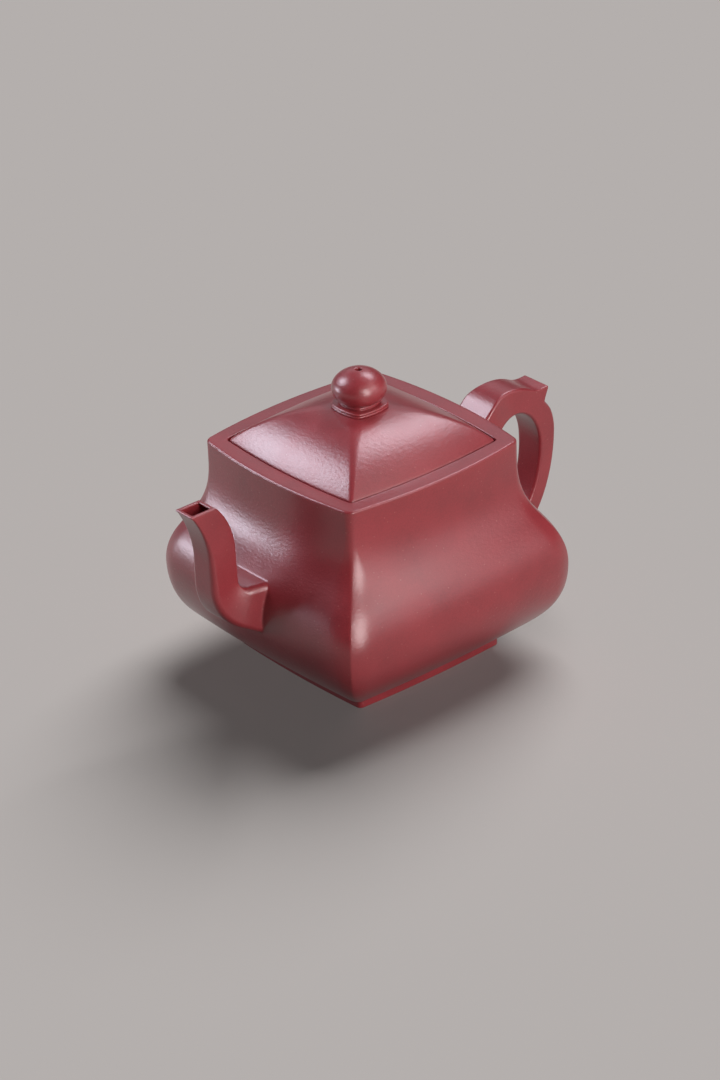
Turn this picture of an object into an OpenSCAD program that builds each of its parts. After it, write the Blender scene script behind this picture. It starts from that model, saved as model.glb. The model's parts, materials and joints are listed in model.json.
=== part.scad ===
// Square clay teapot with an inset lid, built from slabs that are joined with slip.
// Origin at the centre of the foot's underside, +Z up, spout towards -X, handle towards +X.
// Left and right are those of the person who pours: left is -Y, right is +Y.

/* [Foot and floor] */
// How far the foot stands in from the pot's underside
foot_inset = 1.5; // [0.5:0.1:5]
// Height of the foot
foot_h = 2.9; // [2:0.1:5]
// Width of the band that the foot stands on
foot_band = 6; // [4:0.5:10]
// How far a side of the foot bows out between its corners
foot_bow = 0.9; // [0.3:0.1:2]
// Corner radius of the foot
foot_corner_r = 1.5; // [1:0.1:4]
// Thickness of the floor slab
floor_t = 3; // [2:0.1:5]
// Width of the pot's underside, where the body leaves the foot
floor_w = 58.2; // [56:0.2:66]

/* [Body] */
// Width of the body at the belly, between the middles of its sides
belly_w = 91; // [86:0.5:100]
// Height of the widest part of the belly
belly_z = 27.7; // [25:0.1:31]
// Radius of the belly's upright curve
belly_r = 23; // [21:0.1:25]
// How far a side bows out between its corners at the belly
belly_bow = 2.8; // [1:0.1:5]
// Radius of the upright corners at the belly
belly_corner_r = 5.5; // [3:0.1:9]
// Width of the neck
neck_w = 68.2; // [65:0.2:74]
// Radius of the hollow curve from the belly to the neck
neck_r = 27; // [24:0.5:30]
// How far a side bows out between its corners at the neck, the rim and the lid
neck_bow = 2.4; // [1:0.1:4]
// Radius of the upright corners at the neck
neck_corner_r = 2.5; // [1.5:0.1:5]
// Thickness of the wall slabs
wall_t = 3.2; // [2.5:0.1:4.2]
// Radius of the corners inside the pot
inner_corner_r = 2; // [1:0.1:4]

/* [Mouth] */
// Height of the rim above the ground
rim_z = 67; // [64:0.5:76]
// Height of the frame around the lid
frame_h = 2.9; // [2:0.1:4.5]
// Thickness of the seat that carries the lid
seat_t = 2.9; // [2:0.1:4.5]
// Width of the frame's flat around the lid
frame_band = 3.85; // [3:0.05:5.5]
// Width of the ledge that the lid rests on
seat_ledge = 6.8; // [5:0.1:9]
// Radius of the fine rounded edge along the rim
rim_edge_r = 0.6; // [0.3:0.05:1]

/* [Lid] */
// Gap around the lid in its frame
lid_gap = 0.45; // [0.35:0.05:0.7]
// How far the lid's upright edge stays below the rim
lid_sink = 0.2; // [0:0.05:0.8]
// Corner radius of the lid
lid_corner_r = 1.4; // [0.8:0.1:3]
// Rise of the lid from its edge to the pad under the knob
lid_rise = 10.6; // [8:0.1:14]
// How far the lid's slope arches above a straight line
lid_arch = 2.1; // [0.8:0.1:3]
// Thickness of the lid slab
lid_t = 2.9; // [2:0.1:4]
// Depth of the flange that keeps the lid in the mouth
flange_depth = 6; // [4:0.1:9]
// Thickness of the flange
flange_t = 2.4; // [1.8:0.1:3.5]
// Gap around the flange in the mouth
flange_gap = 0.45; // [0.35:0.05:0.8]

/* [Knob] */
// Width of the square base under the knob
knob_base_w = 13.4; // [12.4:0.1:15]
// Height of the base
knob_base_h = 1.5; // [1.2:0.1:3]
// Depth of the line cut around the base
knob_line = 0.35; // [0.2:0.05:0.6]
// Width of the collar between the base and the knob
knob_collar_w = 11.4; // [10:0.1:12.2]
// Height of the collar
knob_collar_h = 1.1; // [0.8:0.1:2]
// Corner radius of the base and the collar
knob_corner_r = 3; // [2:0.1:4.5]
// Width of the knob
knob_w = 15.7; // [14:0.1:18]
// Height that the knob's full form would have
knob_h = 11.2; // [9:0.1:14]
// Height of the knob's middle above the collar
knob_up = 3.7; // [2.5:0.1:4.3]
// Diameter of the vent hole through the knob
vent_d = 1.8; // [1:0.1:3]

/* [Spout] */
// How far the lip of the spout reaches beyond the belly
spout_reach = 19.2; // [17:0.1:26]
// Height of the spout's mouth above the rim
spout_over_rim = 0.2; // [-3:0.1:4]
// Clear distance between the belly and the back of the riser
spout_stand = 5.2; // [3.5:0.1:8]
// Depth of the riser from back to front
spout_riser_d = 8.7; // [8:0.1:11]
// Width of the riser at the end of the lower bend
spout_riser_w = 9.9; // [9:0.1:14]
// Height of the root's middle above the belly line
spout_root_up = 4.2; // [2.5:0.1:6]
// Height of the root on the wall
spout_root_h = 15.4; // [14:0.1:17]
// Width of the root on the wall
spout_root_w = 17.8; // [15:0.1:22]
// Slope of the spout's underside
spout_under_a = 30; // [24:1:36]
// Radius of the lower bend along the front
spout_bend_r = 17; // [13:0.5:19]
// Radius of the lower bend along the back
spout_heel_r = 3; // [2:0.1:4]
// Height of the front curl below the mouth
spout_front_curl = 17.5; // [14:0.5:20]
// Height of the back curl below the mouth
spout_back_curl = 13.8; // [11:0.2:17]
// Depth of the mouth from back to front
spout_mouth_d = 8.6; // [7.4:0.1:10]
// Width of the mouth
spout_mouth_w = 7.4; // [7:0.1:9]
// Wall of the spout at its root
spout_root_t = 2.6; // [2:0.1:3.2]
// Wall of the spout at its mouth
spout_mouth_t = 1.2; // [0.9:0.1:1.4]

/* [Passage and strainer] */
// Diameter of the passage through the wall behind the spout
passage_d = 10.4; // [9:0.1:11]
// Thickness of the strainer in the passage
strainer_t = 2; // [1.4:0.1:2.4]
// Diameter of each strainer hole
strainer_hole_d = 2; // [1.4:0.1:2.4]
// Clay left between two strainer holes
strainer_web = 1; // [0.7:0.1:1.5]
// Gap that the slip fills between two curved faces
slip_gap = 0.1; // [0.05:0.01:0.25]

/* [Handle] */
// How far the handle reaches beyond the belly
handle_reach = 24.9; // [21:0.1:32]
// How far the top of the handle stays below the rim
handle_drop = 1.7; // [0:0.1:5]
// Slope of the handle where it rises from the wall
handle_rise_a = 44; // [36:1:50]
// Radius of the shoulder between the rise and the arch
handle_shoulder_r = 12; // [8:0.5:16]
// Run of the arch from its top to the side bar
handle_arch_run = 18; // [14:0.5:21]
// Drop of the arch from its top to the side bar
handle_arch_fall = 18; // [14:0.5:21]
// Thickness of the handle in its arch
handle_arch_t = 8.6; // [7:0.1:9.5]
// Thickness of the handle in its side bar
handle_bar_t = 6; // [4.2:0.1:6.4]
// Run of the finger hole's curve below the arch
handle_hole_run = 9.2; // [7:0.1:11]
// Drop of the finger hole's curve below the arch
handle_hole_fall = 13; // [10:0.5:16]
// Height of the handle's tail on the lower belly
handle_tail_z = 17; // [14:0.5:20]
// Length of the level tail outside the wall
handle_tail_run = 8; // [5:0.5:10]
// Thickness of the handle at its tail
handle_tail_t = 6.4; // [5:0.1:7.5]
// Width of the handle at its upper root
handle_root_w = 12.8; // [10:0.1:15]
// Width of the handle over its arch
handle_arch_w = 10.2; // [8.5:0.1:12]
// Width of the handle at its tail
handle_tail_w = 8.8; // [7:0.1:10]
// Width of the flat along the handle's edges
handle_edge = 0.9; // [0.5:0.1:1.5]
// How far the tip of the thumb rest stands out of the arch
thumb_h = 3.8; // [2.4:0.1:5]
// Thickness of the thumb rest at its tip
thumb_tip_t = 1.4; // [1:0.1:2.2]
// Width of the thumb rest
thumb_w = 8.6; // [6.5:0.1:9.6]

/* [Hidden] */
$fn = 48;

// Colours of the fired clay
clay = "#8f4144";
clay_lid = "#964a4c";
clay_inside = "#7d3639";

// Cells along half a rounded corner, along a side, up a wall, over the lid, and along a bend
corner_cells = 3;
side_cells = 4;
wall_cells = 17;
lid_cells = 8;
bend_cells = 7;
knob_cells = 10;
edge_cells = 3;

// Angles of a quarter turn and of half a corner
quarter_turn = 90;
half_corner_a = quarter_turn / 2;
// Extra length that carries a cutting solid past what it cuts
cut_over = 1;

// Levels of the stacked slabs
floor_top_z = foot_h + floor_t;
seat_top_z = rim_z - frame_h;
seat_low_z = seat_top_z - seat_t;

// Half widths of the square openings and of what fits in them
foot_half = floor_w / 2 - foot_inset;
frame_in = neck_w / 2 - frame_band;
lid_half = frame_in - lid_gap;
mouth_half = lid_half - seat_ledge;
mouth_bow = neck_bow * mouth_half / lid_half;
flange_out = mouth_half - flange_gap;
flange_in = flange_out - flange_t;

// Upright profile of the body: a straight foot line, the belly arc, the neck arc, then the straight neck
belly_c = [belly_w / 2 - belly_r, belly_z];
neck_cx = neck_w / 2 + neck_r;
neck_c = [neck_cx, belly_z + sqrt(pow(belly_r + neck_r, 2) - pow(neck_cx - belly_c[0], 2))];
join_up = (neck_c[1] - belly_z) / (belly_r + neck_r);
base_p = [floor_w / 2, foot_h];
base_d = belly_c - base_p;
base_a = atan2(base_d[1], base_d[0]) - asin(belly_r / norm(base_d));
base_n = [sin(base_a), -cos(base_a)];

function square_of(v) = v * v;
function mix(a, b, t) = a + (b - a) * t;
function ease(t) = let (u = min(max(t, 0), 1)) u * u * (3 - 2 * u);

// Half width of the body at height z, with every face moved in by t
function body_half(z, t = 0) =
    let (
        touch_z = belly_z + (belly_r - t) * base_n[1],
        join_z = belly_z + (belly_r - t) * join_up,
        line_p = base_p - t * base_n
    )
    z < touch_z ? line_p[0] + (z - line_p[1]) / tan(base_a)
    : z < join_z ? belly_c[0] + sqrt(square_of(belly_r - t) - square_of(z - belly_z))
    : z < neck_c[1] ? neck_c[0] - sqrt(square_of(neck_r + t) - square_of(z - neck_c[1]))
    : neck_w / 2 - t;

// Value that changes smoothly from the foot to the belly and on to the neck
function along_body(z, low, mid, high) =
    z < belly_z ? mix(low, mid, ease((z - foot_h) / (belly_z - foot_h)))
    : mix(mid, high, ease((z - belly_z) / (neck_c[1] - belly_z)));
function body_bow(z) = along_body(z, foot_bow, belly_bow, neck_bow);
function body_corner_r(z) = along_body(z, foot_corner_r, belly_corner_r, neck_corner_r);

// One side of a square with bowed sides and rounded corners, facing +X, from its -Y corner to its +Y corner.
// half is the half width at mid side, bow the rise of the side over its corners, r the corner radius.
function side(half, bow, r) =
    let (
        arc_r = (square_of(half - bow) + square_of(bow)) / (2 * bow),
        arc_x = half - arc_r,
        q = (arc_x + sqrt(2 * square_of(arc_r - r) - square_of(arc_x))) / 2,
        arc_a = atan2(q, q - arc_x),
        turn = half_corner_a - arc_a
    )
    concat(
        [for (i = [0 : corner_cells - 1]) let (a = -half_corner_a + turn * i / corner_cells)
            [q + r * cos(a), -q + r * sin(a)]],
        [for (i = [0 : side_cells]) let (a = mix(-arc_a, arc_a, i / side_cells))
            [arc_x + arc_r * cos(a), arc_r * sin(a)]],
        [for (i = [1 : corner_cells]) let (a = arc_a + turn * i / corner_cells)
            [q + r * cos(a), q + r * sin(a)]]
    );

// Point p turned by k quarter turns about Z, at height z
function quarter(p, k, z) =
    k == 0 ? [p[0], p[1], z]
    : k == 1 ? [-p[1], p[0], z]
    : k == 2 ? [-p[0], -p[1], z]
    : [p[1], -p[0], z];

// Closed square loop at height z, counter-clockwise from above
function loop(z, half, bow, r) =
    let (s = side(half, bow, r))
    [for (k = [0 : 3]) for (i = [0 : len(s) - 2]) quarter(s[i], k, z)];

// Loop on the body's outer face at height z, moved in by t
function body_loop(z, t = 0) = loop(z, body_half(z, t), body_bow(z), body_corner_r(z));

// Two triangles for the four-cornered cell a, b, c, d, split along its shorter diagonal
function cell(p, a, b, c, d) =
    norm(p[a] - p[c]) <= norm(p[b] - p[d]) ? [[a, b, c], [a, c, d]] : [[a, b, d], [b, c, d]];

// Cells between the loops of n points each, where loop i lies below loop i + 1
function skin_cells(p, n, loops, closed) =
    [for (i = [0 : (closed ? loops - 1 : loops - 2)]) for (j = [0 : n - 1])
        let (i2 = (i + 1) % loops, j2 = (j + 1) % n)
        each cell(p, i * n + j, i2 * n + j, i2 * n + j2, i * n + j2)];

// Solid between a stack of convex loops, with flat ends
module skin(loops) {
    n = len(loops[0]);
    p = [for (l = loops) each l];
    last = (len(loops) - 1) * n;
    low_end = [for (j = [1 : n - 2]) [0, j, j + 1]];
    high_end = [for (j = [1 : n - 2]) [last, last + j + 1, last + j]];
    polyhedron(p, concat(skin_cells(p, n, len(loops), false), low_end, high_end));
}

// Ring whose section runs through the loops and back to the first one
module ring_skin(loops) {
    n = len(loops[0]);
    p = [for (l = loops) each l];
    polyhedron(p, skin_cells(p, n, len(loops), true));
}

// Slab between outer and inner strips: each row holds the outer points, then the inner ones backwards
module slab_skin(rows) {
    n = len(rows[0]);
    p = [for (r = rows) each r];
    last = (len(rows) - 1) * n;
    half_n = n / 2;
    low_end = [for (j = [0 : half_n - 2]) each cell(p, j, j + 1, n - 2 - j, n - 1 - j)];
    high_end = [for (j = [0 : half_n - 2])
        each cell(p, last + j, last + n - 1 - j, last + n - 2 - j, last + j + 1)];
    polyhedron(p, concat(skin_cells(p, n, len(rows), false), low_end, high_end));
}

// Heights of a wall's rows
wall_zs = [for (i = [0 : wall_cells]) mix(floor_top_z, seat_low_z, i / wall_cells)];

// One wall slab, mitred at the upright corners, on the side k quarter turns from +X
module wall(k) {
    slab_skin([for (z = wall_zs)
        let (
            outer = side(body_half(z), body_bow(z), body_corner_r(z)),
            inner = side(body_half(z, wall_t), body_bow(z), inner_corner_r),
            n = len(outer)
        )
        [for (i = [0 : 2 * n - 1]) quarter(i < n ? outer[i] : inner[2 * n - 1 - i], k, z)]
    ]);
}

// Solid that fills the body's outer form, larger by grow, for trimming what is joined to a wall
module body_form(grow) {
    skin([for (z = concat([foot_h], wall_zs, [seat_top_z])) body_loop(z, -grow)]);
}

// Flat square ring of height h on the level z, between an outer and an inner square loop
module square_ring(z, h, outer, inner) {
    translate([0, 0, z])
        linear_extrude(h)
            difference() {
                polygon([for (p = outer) [p[0], p[1]]]);
                polygon([for (p = inner) [p[0], p[1]]]);
            }
}

// Square ring foot
module foot() {
    color(clay) square_ring(
        0, foot_h,
        loop(0, foot_half, foot_bow, foot_corner_r),
        loop(0, foot_half - foot_band, foot_bow, foot_corner_r)
    );
}

// Slab that closes the pot at the bottom and shows as the lowest band of the body
module floor_slab() {
    color(clay) skin([body_loop(foot_h), body_loop((foot_h + floor_top_z) / 2), body_loop(floor_top_z)]);
}

// Wall on the pouring side, with the passage to the spout
spout_root_z = belly_z + spout_root_up;
module spout_wall() {
    color(clay) difference() {
        wall(2);
        translate([-belly_w / 2 - cut_over, 0, spout_root_z])
            rotate([0, quarter_turn, 0])
                cylinder(d = passage_d, h = belly_w / 2);
    }
}

module handle_wall() {
    color(clay) wall(0);
}

module left_wall() {
    color(clay) wall(3);
}

module right_wall() {
    color(clay) wall(1);
}

// Flat slab across the top of the walls: the lid rests on it
module lid_seat() {
    color(clay) square_ring(
        seat_low_z, seat_t,
        body_loop(seat_low_z),
        loop(seat_low_z, mouth_half, mouth_bow, inner_corner_r)
    );
}

// Frame around the lid, with a fine rounded outer edge
module mouth_frame() {
    top_r = neck_corner_r;
    edge = [for (i = [0 : edge_cells]) let (a = quarter_turn * i / edge_cells)
        loop(rim_z - rim_edge_r * (1 - sin(a)), neck_w / 2 - rim_edge_r * (1 - cos(a)), neck_bow, top_r)];
    color(clay) ring_skin(concat(
        [body_loop(seat_top_z)],
        edge,
        [
            loop(rim_z, frame_in, neck_bow, lid_corner_r + lid_gap),
            loop(seat_top_z, frame_in, neck_bow, lid_corner_r + lid_gap)
        ]
    ));
}

// Pierced disc in the passage, which keeps the leaves in the pot
strainer_step = strainer_hole_d + strainer_web;
strainer_ring = 6;
module strainer() {
    x = -body_half(spout_root_z, wall_t) - strainer_t;
    color(clay_inside) translate([x, 0, spout_root_z]) rotate([0, quarter_turn, 0]) difference() {
        cylinder(d = passage_d - 2 * slip_gap, h = strainer_t);
        translate([0, 0, -cut_over])
            cylinder(d = strainer_hole_d, h = strainer_t + 2 * cut_over);
        for (i = [1 : strainer_ring])
            rotate(4 * quarter_turn * i / strainer_ring)
                translate([strainer_step, 0, -cut_over])
                    cylinder(d = strainer_hole_d, h = strainer_t + 2 * cut_over);
    }
}

// Spout: its front edge is a sloping line, a bend, an upright riser and an outward curl.
// Its back edge is a level line, a tight heel, the riser and a tighter curl.
mouth_z = rim_z + spout_over_rim;
root_low_z = spout_root_z - spout_root_h / 2;
root_high_z = spout_root_z + spout_root_h / 2;
riser_back = belly_w / 2 + spout_stand;
riser_front = riser_back + spout_riser_d;
lip_front = belly_w / 2 + spout_reach;
lip_back = lip_front - spout_mouth_d;
root_front = body_half(root_low_z);
root_in = belly_w / 2 - 2 * wall_t;
under_n = [sin(spout_under_a), -cos(spout_under_a)];
bend_cx = riser_front - spout_bend_r;
bend_cz = root_low_z + (bend_cx - root_front + spout_bend_r * under_n[0]) * tan(spout_under_a)
    + spout_bend_r * cos(spout_under_a);

heel_c = [riser_back - spout_heel_r, root_high_z + spout_heel_r];

// Share of each taper that is already done where its bend begins
taper_start = 0.3;

// Radius of an arc that starts upright and moves out by dx while it rises by dz
function curl_r(dx, dz) = (square_of(dx) + square_of(dz)) / (2 * dx);
front_curl_r = curl_r(lip_front - riser_front, spout_front_curl);
back_curl_r = curl_r(lip_back - riser_back, spout_back_curl);
front_curl_c = [riser_front + front_curl_r, mouth_z - spout_front_curl];
back_curl_c = [riser_back + back_curl_r, mouth_z - spout_back_curl];

// Stations along the spout: [front edge, back edge, share of the taper to the riser, share on to the mouth]
spout_stations = concat(
    [
        [[root_in, root_low_z - (root_front - root_in) * tan(spout_under_a)], [root_in, root_high_z], 0, 0],
        [[root_front, root_low_z], [body_half(root_high_z), root_high_z], 0, 0]
    ],
    [for (i = [0 : bend_cells])
        let (
            t = i / bend_cells,
            fa = mix(spout_under_a - quarter_turn, 0, t),
            ba = mix(-quarter_turn, 0, t)
        )
        [
            [bend_cx + spout_bend_r * cos(fa), bend_cz + spout_bend_r * sin(fa)],
            [heel_c[0] + spout_heel_r * cos(ba), heel_c[1] + spout_heel_r * sin(ba)],
            1 - square_of(1 - mix(taper_start, 1, t)),
            0
        ]],
    [for (i = [0 : bend_cells])
        let (
            t = i / bend_cells,
            fa = asin(spout_front_curl / front_curl_r) * t,
            ba = asin(spout_back_curl / back_curl_r) * t
        )
        [
            [front_curl_c[0] - front_curl_r * cos(fa), front_curl_c[1] + front_curl_r * sin(fa)],
            [back_curl_c[0] - back_curl_r * cos(ba), back_curl_c[1] + back_curl_r * sin(ba)],
            1,
            mix(taper_start, 1, t)
        ]]
);

// Ring of eight points at a station: four outer corners, then the four corners of the channel.
// Corner 0 is front left, 1 front right, 2 back right, 3 back left.
function spout_ring(s) =
    let (
        half = mix(mix(spout_root_w, spout_riser_w, s[2]), spout_mouth_w, s[3]) / 2,
        t = mix(spout_root_t, spout_mouth_t, (s[2] + s[3]) / 2),
        across = (s[1] - s[0]) / norm(s[1] - s[0]),
        front = s[0] + t * across,
        back = s[1] - t * across
    )
    [
        [-s[0][0], -half, s[0][1]], [-s[0][0], half, s[0][1]],
        [-s[1][0], half, s[1][1]], [-s[1][0], -half, s[1][1]],
        [-front[0], t - half, front[1]], [-front[0], half - t, front[1]],
        [-back[0], half - t, back[1]], [-back[0], t - half, back[1]]
    ];

// Slab of the spout between corners k and k + 1, trimmed to the wall
module spout_slab(k) {
    k2 = (k + 1) % 4;
    color(clay) difference() {
        skin([for (s = spout_stations) let (r = spout_ring(s)) [r[k2], r[k], r[k + 4], r[k2 + 4]]]);
        body_form(slip_gap);
    }
}

module spout_front_slab() {
    spout_slab(0);
}

module spout_right_cheek() {
    spout_slab(1);
}

module spout_back_slab() {
    spout_slab(2);
}

module spout_left_cheek() {
    spout_slab(3);
}

// Handle: each edge rises from the wall, turns over a shoulder, rounds the arch and sweeps to the tail
handle_out = belly_w / 2 + handle_reach;
handle_top_z = rim_z - handle_drop;
handle_in = neck_w / 2 - wall_t;
tail_x = body_half(handle_tail_z) + handle_tail_run;
arch_c = [handle_out - handle_arch_run, handle_top_z - handle_arch_fall];
hole_out = handle_out - handle_bar_t;
hole_top_z = handle_top_z - handle_arch_t;
hole_c = [hole_out - handle_hole_run, hole_top_z - handle_hole_fall];

// Points of an edge: c is the arch's centre, run and fall its half axes, low_z the edge's height at the tail
function handle_curve(c, run, fall, low_z) =
    let (
        shoulder_z = c[1] + fall - handle_shoulder_r,
        start_a = quarter_turn + handle_rise_a,
        start = [c[0] + handle_shoulder_r * cos(start_a), shoulder_z + handle_shoulder_r * sin(start_a)]
    )
    concat(
        [[handle_in, start[1] - (start[0] - handle_in) * tan(handle_rise_a)]],
        [for (i = [0 : bend_cells]) let (a = mix(start_a, quarter_turn, i / bend_cells))
            [c[0] + handle_shoulder_r * cos(a), shoulder_z + handle_shoulder_r * sin(a)]],
        [for (i = [1 : bend_cells]) let (a = mix(quarter_turn, 0, i / bend_cells))
            [c[0] + run * cos(a), c[1] + fall * sin(a)]],
        [for (i = [1 : bend_cells]) let (a = mix(0, -quarter_turn, i / bend_cells))
            [tail_x + (c[0] + run - tail_x) * cos(a), c[1] + (c[1] - low_z) * sin(a)]],
        [[handle_in, low_z]]
    );
handle_outer = handle_curve(arch_c, handle_arch_run, handle_arch_fall, handle_tail_z - handle_tail_t / 2);
handle_inner = handle_curve(hole_c, handle_hole_run, handle_hole_fall, handle_tail_z + handle_tail_t / 2);
handle_width = concat(
    [handle_root_w],
    [for (i = [0 : bend_cells]) mix(handle_root_w, handle_arch_w, ease(i / bend_cells))],
    [for (i = [1 : bend_cells]) handle_arch_w],
    [for (i = [1 : bend_cells]) mix(handle_arch_w, handle_tail_w, sin(quarter_turn * i / bend_cells))],
    [handle_tail_w]
);

// Bar of the handle, larger by grow all round
module handle_bar(grow = 0) {
    e = handle_edge;
    skin([for (i = [0 : len(handle_outer) - 1])
        let (
            d = handle_inner[i] - handle_outer[i],
            u = d / norm(d),
            o = handle_outer[i] - grow * u,
            n = handle_inner[i] + grow * u,
            h = handle_width[i] / 2 + grow
        )
        [
            [o[0], e - h, o[1]], [o[0] + e * u[0], -h, o[1] + e * u[1]],
            [n[0] - e * u[0], -h, n[1] - e * u[1]], [n[0], e - h, n[1]],
            [n[0], h - e, n[1]], [n[0] - e * u[0], h, n[1] - e * u[1]],
            [o[0] + e * u[0], h, o[1] + e * u[1]], [o[0], h - e, o[1]]
        ]
    ]);
}

module handle() {
    color(clay) difference() {
        handle_bar();
        body_form(slip_gap);
    }
}

// Small upturned rest on the handle's outer top corner, between three angles round the arch
thumb_start_angle = 72;
thumb_tip_angle = 43;
thumb_end_angle = 28;
function arch_point(a, up = 0) =
    arch_c + [(handle_arch_run + up) * cos(a), (handle_arch_fall + up) * sin(a)];
module thumb_rest() {
    tip = arch_point(thumb_tip_angle, thumb_h);
    root = arch_point(thumb_end_angle);
    under = tip + (root - tip) * thumb_tip_t / norm(root - tip);
    color(clay) difference() {
        rotate([quarter_turn, 0, 0])
            linear_extrude(thumb_w, center = true)
                polygon([
                    arch_point(thumb_start_angle), tip, under, root,
                    arch_point(thumb_end_angle, -thumb_h), arch_point(thumb_tip_angle, -thumb_h),
                    arch_point(thumb_start_angle, -thumb_h)
                ]);
        handle_bar(slip_gap);
    }
}

// Arched lid slab, hollow below, open to the pot inside its flange
lid_low_z = seat_top_z;
lid_edge_z = rim_z - lid_sink;
lid_top_z = lid_edge_z + lid_rise;
pad_half = knob_base_w / 2 + knob_line;

// Point on the arc from the lid's edge to its pad, at a share t, as [half width, height]
lid_run = lid_half - pad_half;
lid_chord = norm([lid_run, lid_rise]);
lid_arc_r = (square_of(lid_chord / 2) + square_of(lid_arch)) / (2 * lid_arch);
lid_slope = atan2(lid_rise, lid_run);
lid_arc_a = asin(lid_chord / 2 / lid_arc_r);
lid_arc_c = [
    (lid_half + pad_half) / 2 - (lid_arc_r - lid_arch) * sin(lid_slope),
    lid_edge_z + lid_rise / 2 - (lid_arc_r - lid_arch) * cos(lid_slope)
];
function lid_arc(t, in = 0) =
    let (a = quarter_turn - lid_slope + mix(-lid_arc_a, lid_arc_a, t))
    [lid_arc_c[0] + (lid_arc_r - in) * cos(a), lid_arc_c[1] + (lid_arc_r - in) * sin(a)];

// Loop on the lid's slope: the bow shrinks with the width, and the hips soften towards the pad
function lid_loop(p, t) =
    loop(p[1], p[0], neck_bow * p[0] / lid_half, mix(lid_corner_r, knob_corner_r, ease(t)));
module lid_cover() {
    vault = [for (i = [0 : lid_cells]) let (p = lid_arc(i / lid_cells, lid_t))
        if (p[0] < flange_in && p[1] > lid_low_z) lid_loop(p, i / lid_cells)];
    vault_down = [for (i = [len(vault) - 1 : -1 : 0]) vault[i]];
    color(clay_lid) difference() {
        skin(concat(
            vault_down,
            [
                loop(lid_low_z, flange_in, mouth_bow, inner_corner_r),
                loop(lid_low_z, lid_half, neck_bow, lid_corner_r),
                loop(lid_edge_z, lid_half, neck_bow, lid_corner_r)
            ],
            [for (i = [1 : lid_cells]) lid_loop(lid_arc(i / lid_cells), i / lid_cells)]
        ));
        vent();
    }
}

// Upright wall below the lid that keeps it in the mouth
module lid_flange() {
    color(clay_inside) square_ring(
        lid_low_z - flange_depth, flange_depth,
        loop(0, flange_out, mouth_bow, inner_corner_r),
        loop(0, flange_in, mouth_bow, inner_corner_r)
    );
}

// Vent hole down the lid's axis
module vent() {
    translate([0, 0, lid_low_z])
        cylinder(d = vent_d, h = lid_rise + knob_base_h + knob_collar_h + knob_h + frame_h);
}

// Square roll from z to z + h with rounded edges of half its height
knob_bow = 0.3;
function roll(z, h, half) =
    [for (i = [0 : edge_cells + 1]) let (a = mix(-quarter_turn, quarter_turn, i / (edge_cells + 1)))
        loop(z + h / 2 * (1 + sin(a)), half - h / 2 * (1 - cos(a)), knob_bow, knob_corner_r)];

// Base of two rolls with a fine line between them
module knob_base() {
    h = knob_base_h / 2;
    color(clay_lid) difference() {
        skin(concat(
            roll(lid_top_z, h, knob_base_w / 2),
            [for (i = [1 : edge_cells + 1]) roll(lid_top_z + h, h, knob_base_w / 2)[i]]
        ));
        vent();
    }
}

// Collar that draws in from the base and rolls out under the knob
knob_collar_z = lid_top_z + knob_base_h;
knob_seat_z = knob_collar_z + knob_collar_h;
module knob_collar() {
    half = knob_collar_w / 2;
    color(clay_lid) difference() {
        skin(concat(
            [loop(knob_collar_z, half - knob_line, knob_bow, knob_corner_r)],
            roll(knob_collar_z + knob_collar_h / 3, knob_collar_h * 2 / 3, half)
        ));
        vent();
    }
}

// Flattened knob, a little four-sided, cut flat where it sits on the collar
knob_mid_z = knob_seat_z + knob_up;
knob_side_bow = 2.2;
// Share of the knob's half width that rounds its corners, and the angle where its form ends at the vent
knob_round = 0.72;
knob_top_angle = 86;
module knob() {
    low_a = -asin(knob_up / (knob_h / 2));
    color(clay_lid) difference() {
        skin([for (i = [0 : knob_cells])
            let (
                a = mix(low_a, knob_top_angle, i / knob_cells),
                half = knob_w / 2 * cos(a)
            )
            loop(knob_mid_z + knob_h / 2 * sin(a), half, knob_side_bow * cos(a), half * knob_round)]);
        vent();
    }
}

foot();
floor_slab();
spout_wall();
handle_wall();
left_wall();
right_wall();
lid_seat();
mouth_frame();
strainer();
spout_front_slab();
spout_back_slab();
spout_left_cheek();
spout_right_cheek();
handle();
thumb_rest();
lid_cover();
lid_flange();
knob_base();
knob_collar();
knob();
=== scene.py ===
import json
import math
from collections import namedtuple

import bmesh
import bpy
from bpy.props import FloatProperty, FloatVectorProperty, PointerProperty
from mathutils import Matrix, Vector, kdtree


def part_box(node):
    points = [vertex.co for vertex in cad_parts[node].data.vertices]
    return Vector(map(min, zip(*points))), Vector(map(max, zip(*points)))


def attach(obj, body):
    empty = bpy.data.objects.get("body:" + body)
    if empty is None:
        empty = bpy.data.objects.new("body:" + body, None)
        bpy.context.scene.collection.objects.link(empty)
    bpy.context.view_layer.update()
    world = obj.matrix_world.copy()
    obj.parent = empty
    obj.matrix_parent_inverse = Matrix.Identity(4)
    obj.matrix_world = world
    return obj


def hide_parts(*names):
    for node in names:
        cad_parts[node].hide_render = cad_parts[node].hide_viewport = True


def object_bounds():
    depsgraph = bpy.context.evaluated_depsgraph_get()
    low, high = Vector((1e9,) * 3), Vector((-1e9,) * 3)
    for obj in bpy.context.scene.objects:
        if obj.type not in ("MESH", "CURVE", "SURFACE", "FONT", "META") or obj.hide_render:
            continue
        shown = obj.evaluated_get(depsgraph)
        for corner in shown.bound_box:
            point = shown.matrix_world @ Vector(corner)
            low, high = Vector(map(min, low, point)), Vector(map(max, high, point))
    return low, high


bl_info = {
    "name": "Square clay teapot",
    "version": (1, 0, 0),
    "blender": (4, 5, 0),
    "location": "3D View > Sidebar > Teapot",
    "description": "Builds a square teapot of unglazed clay, slab by slab, round its packed frame",
    "category": "Add Mesh",
}

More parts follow.
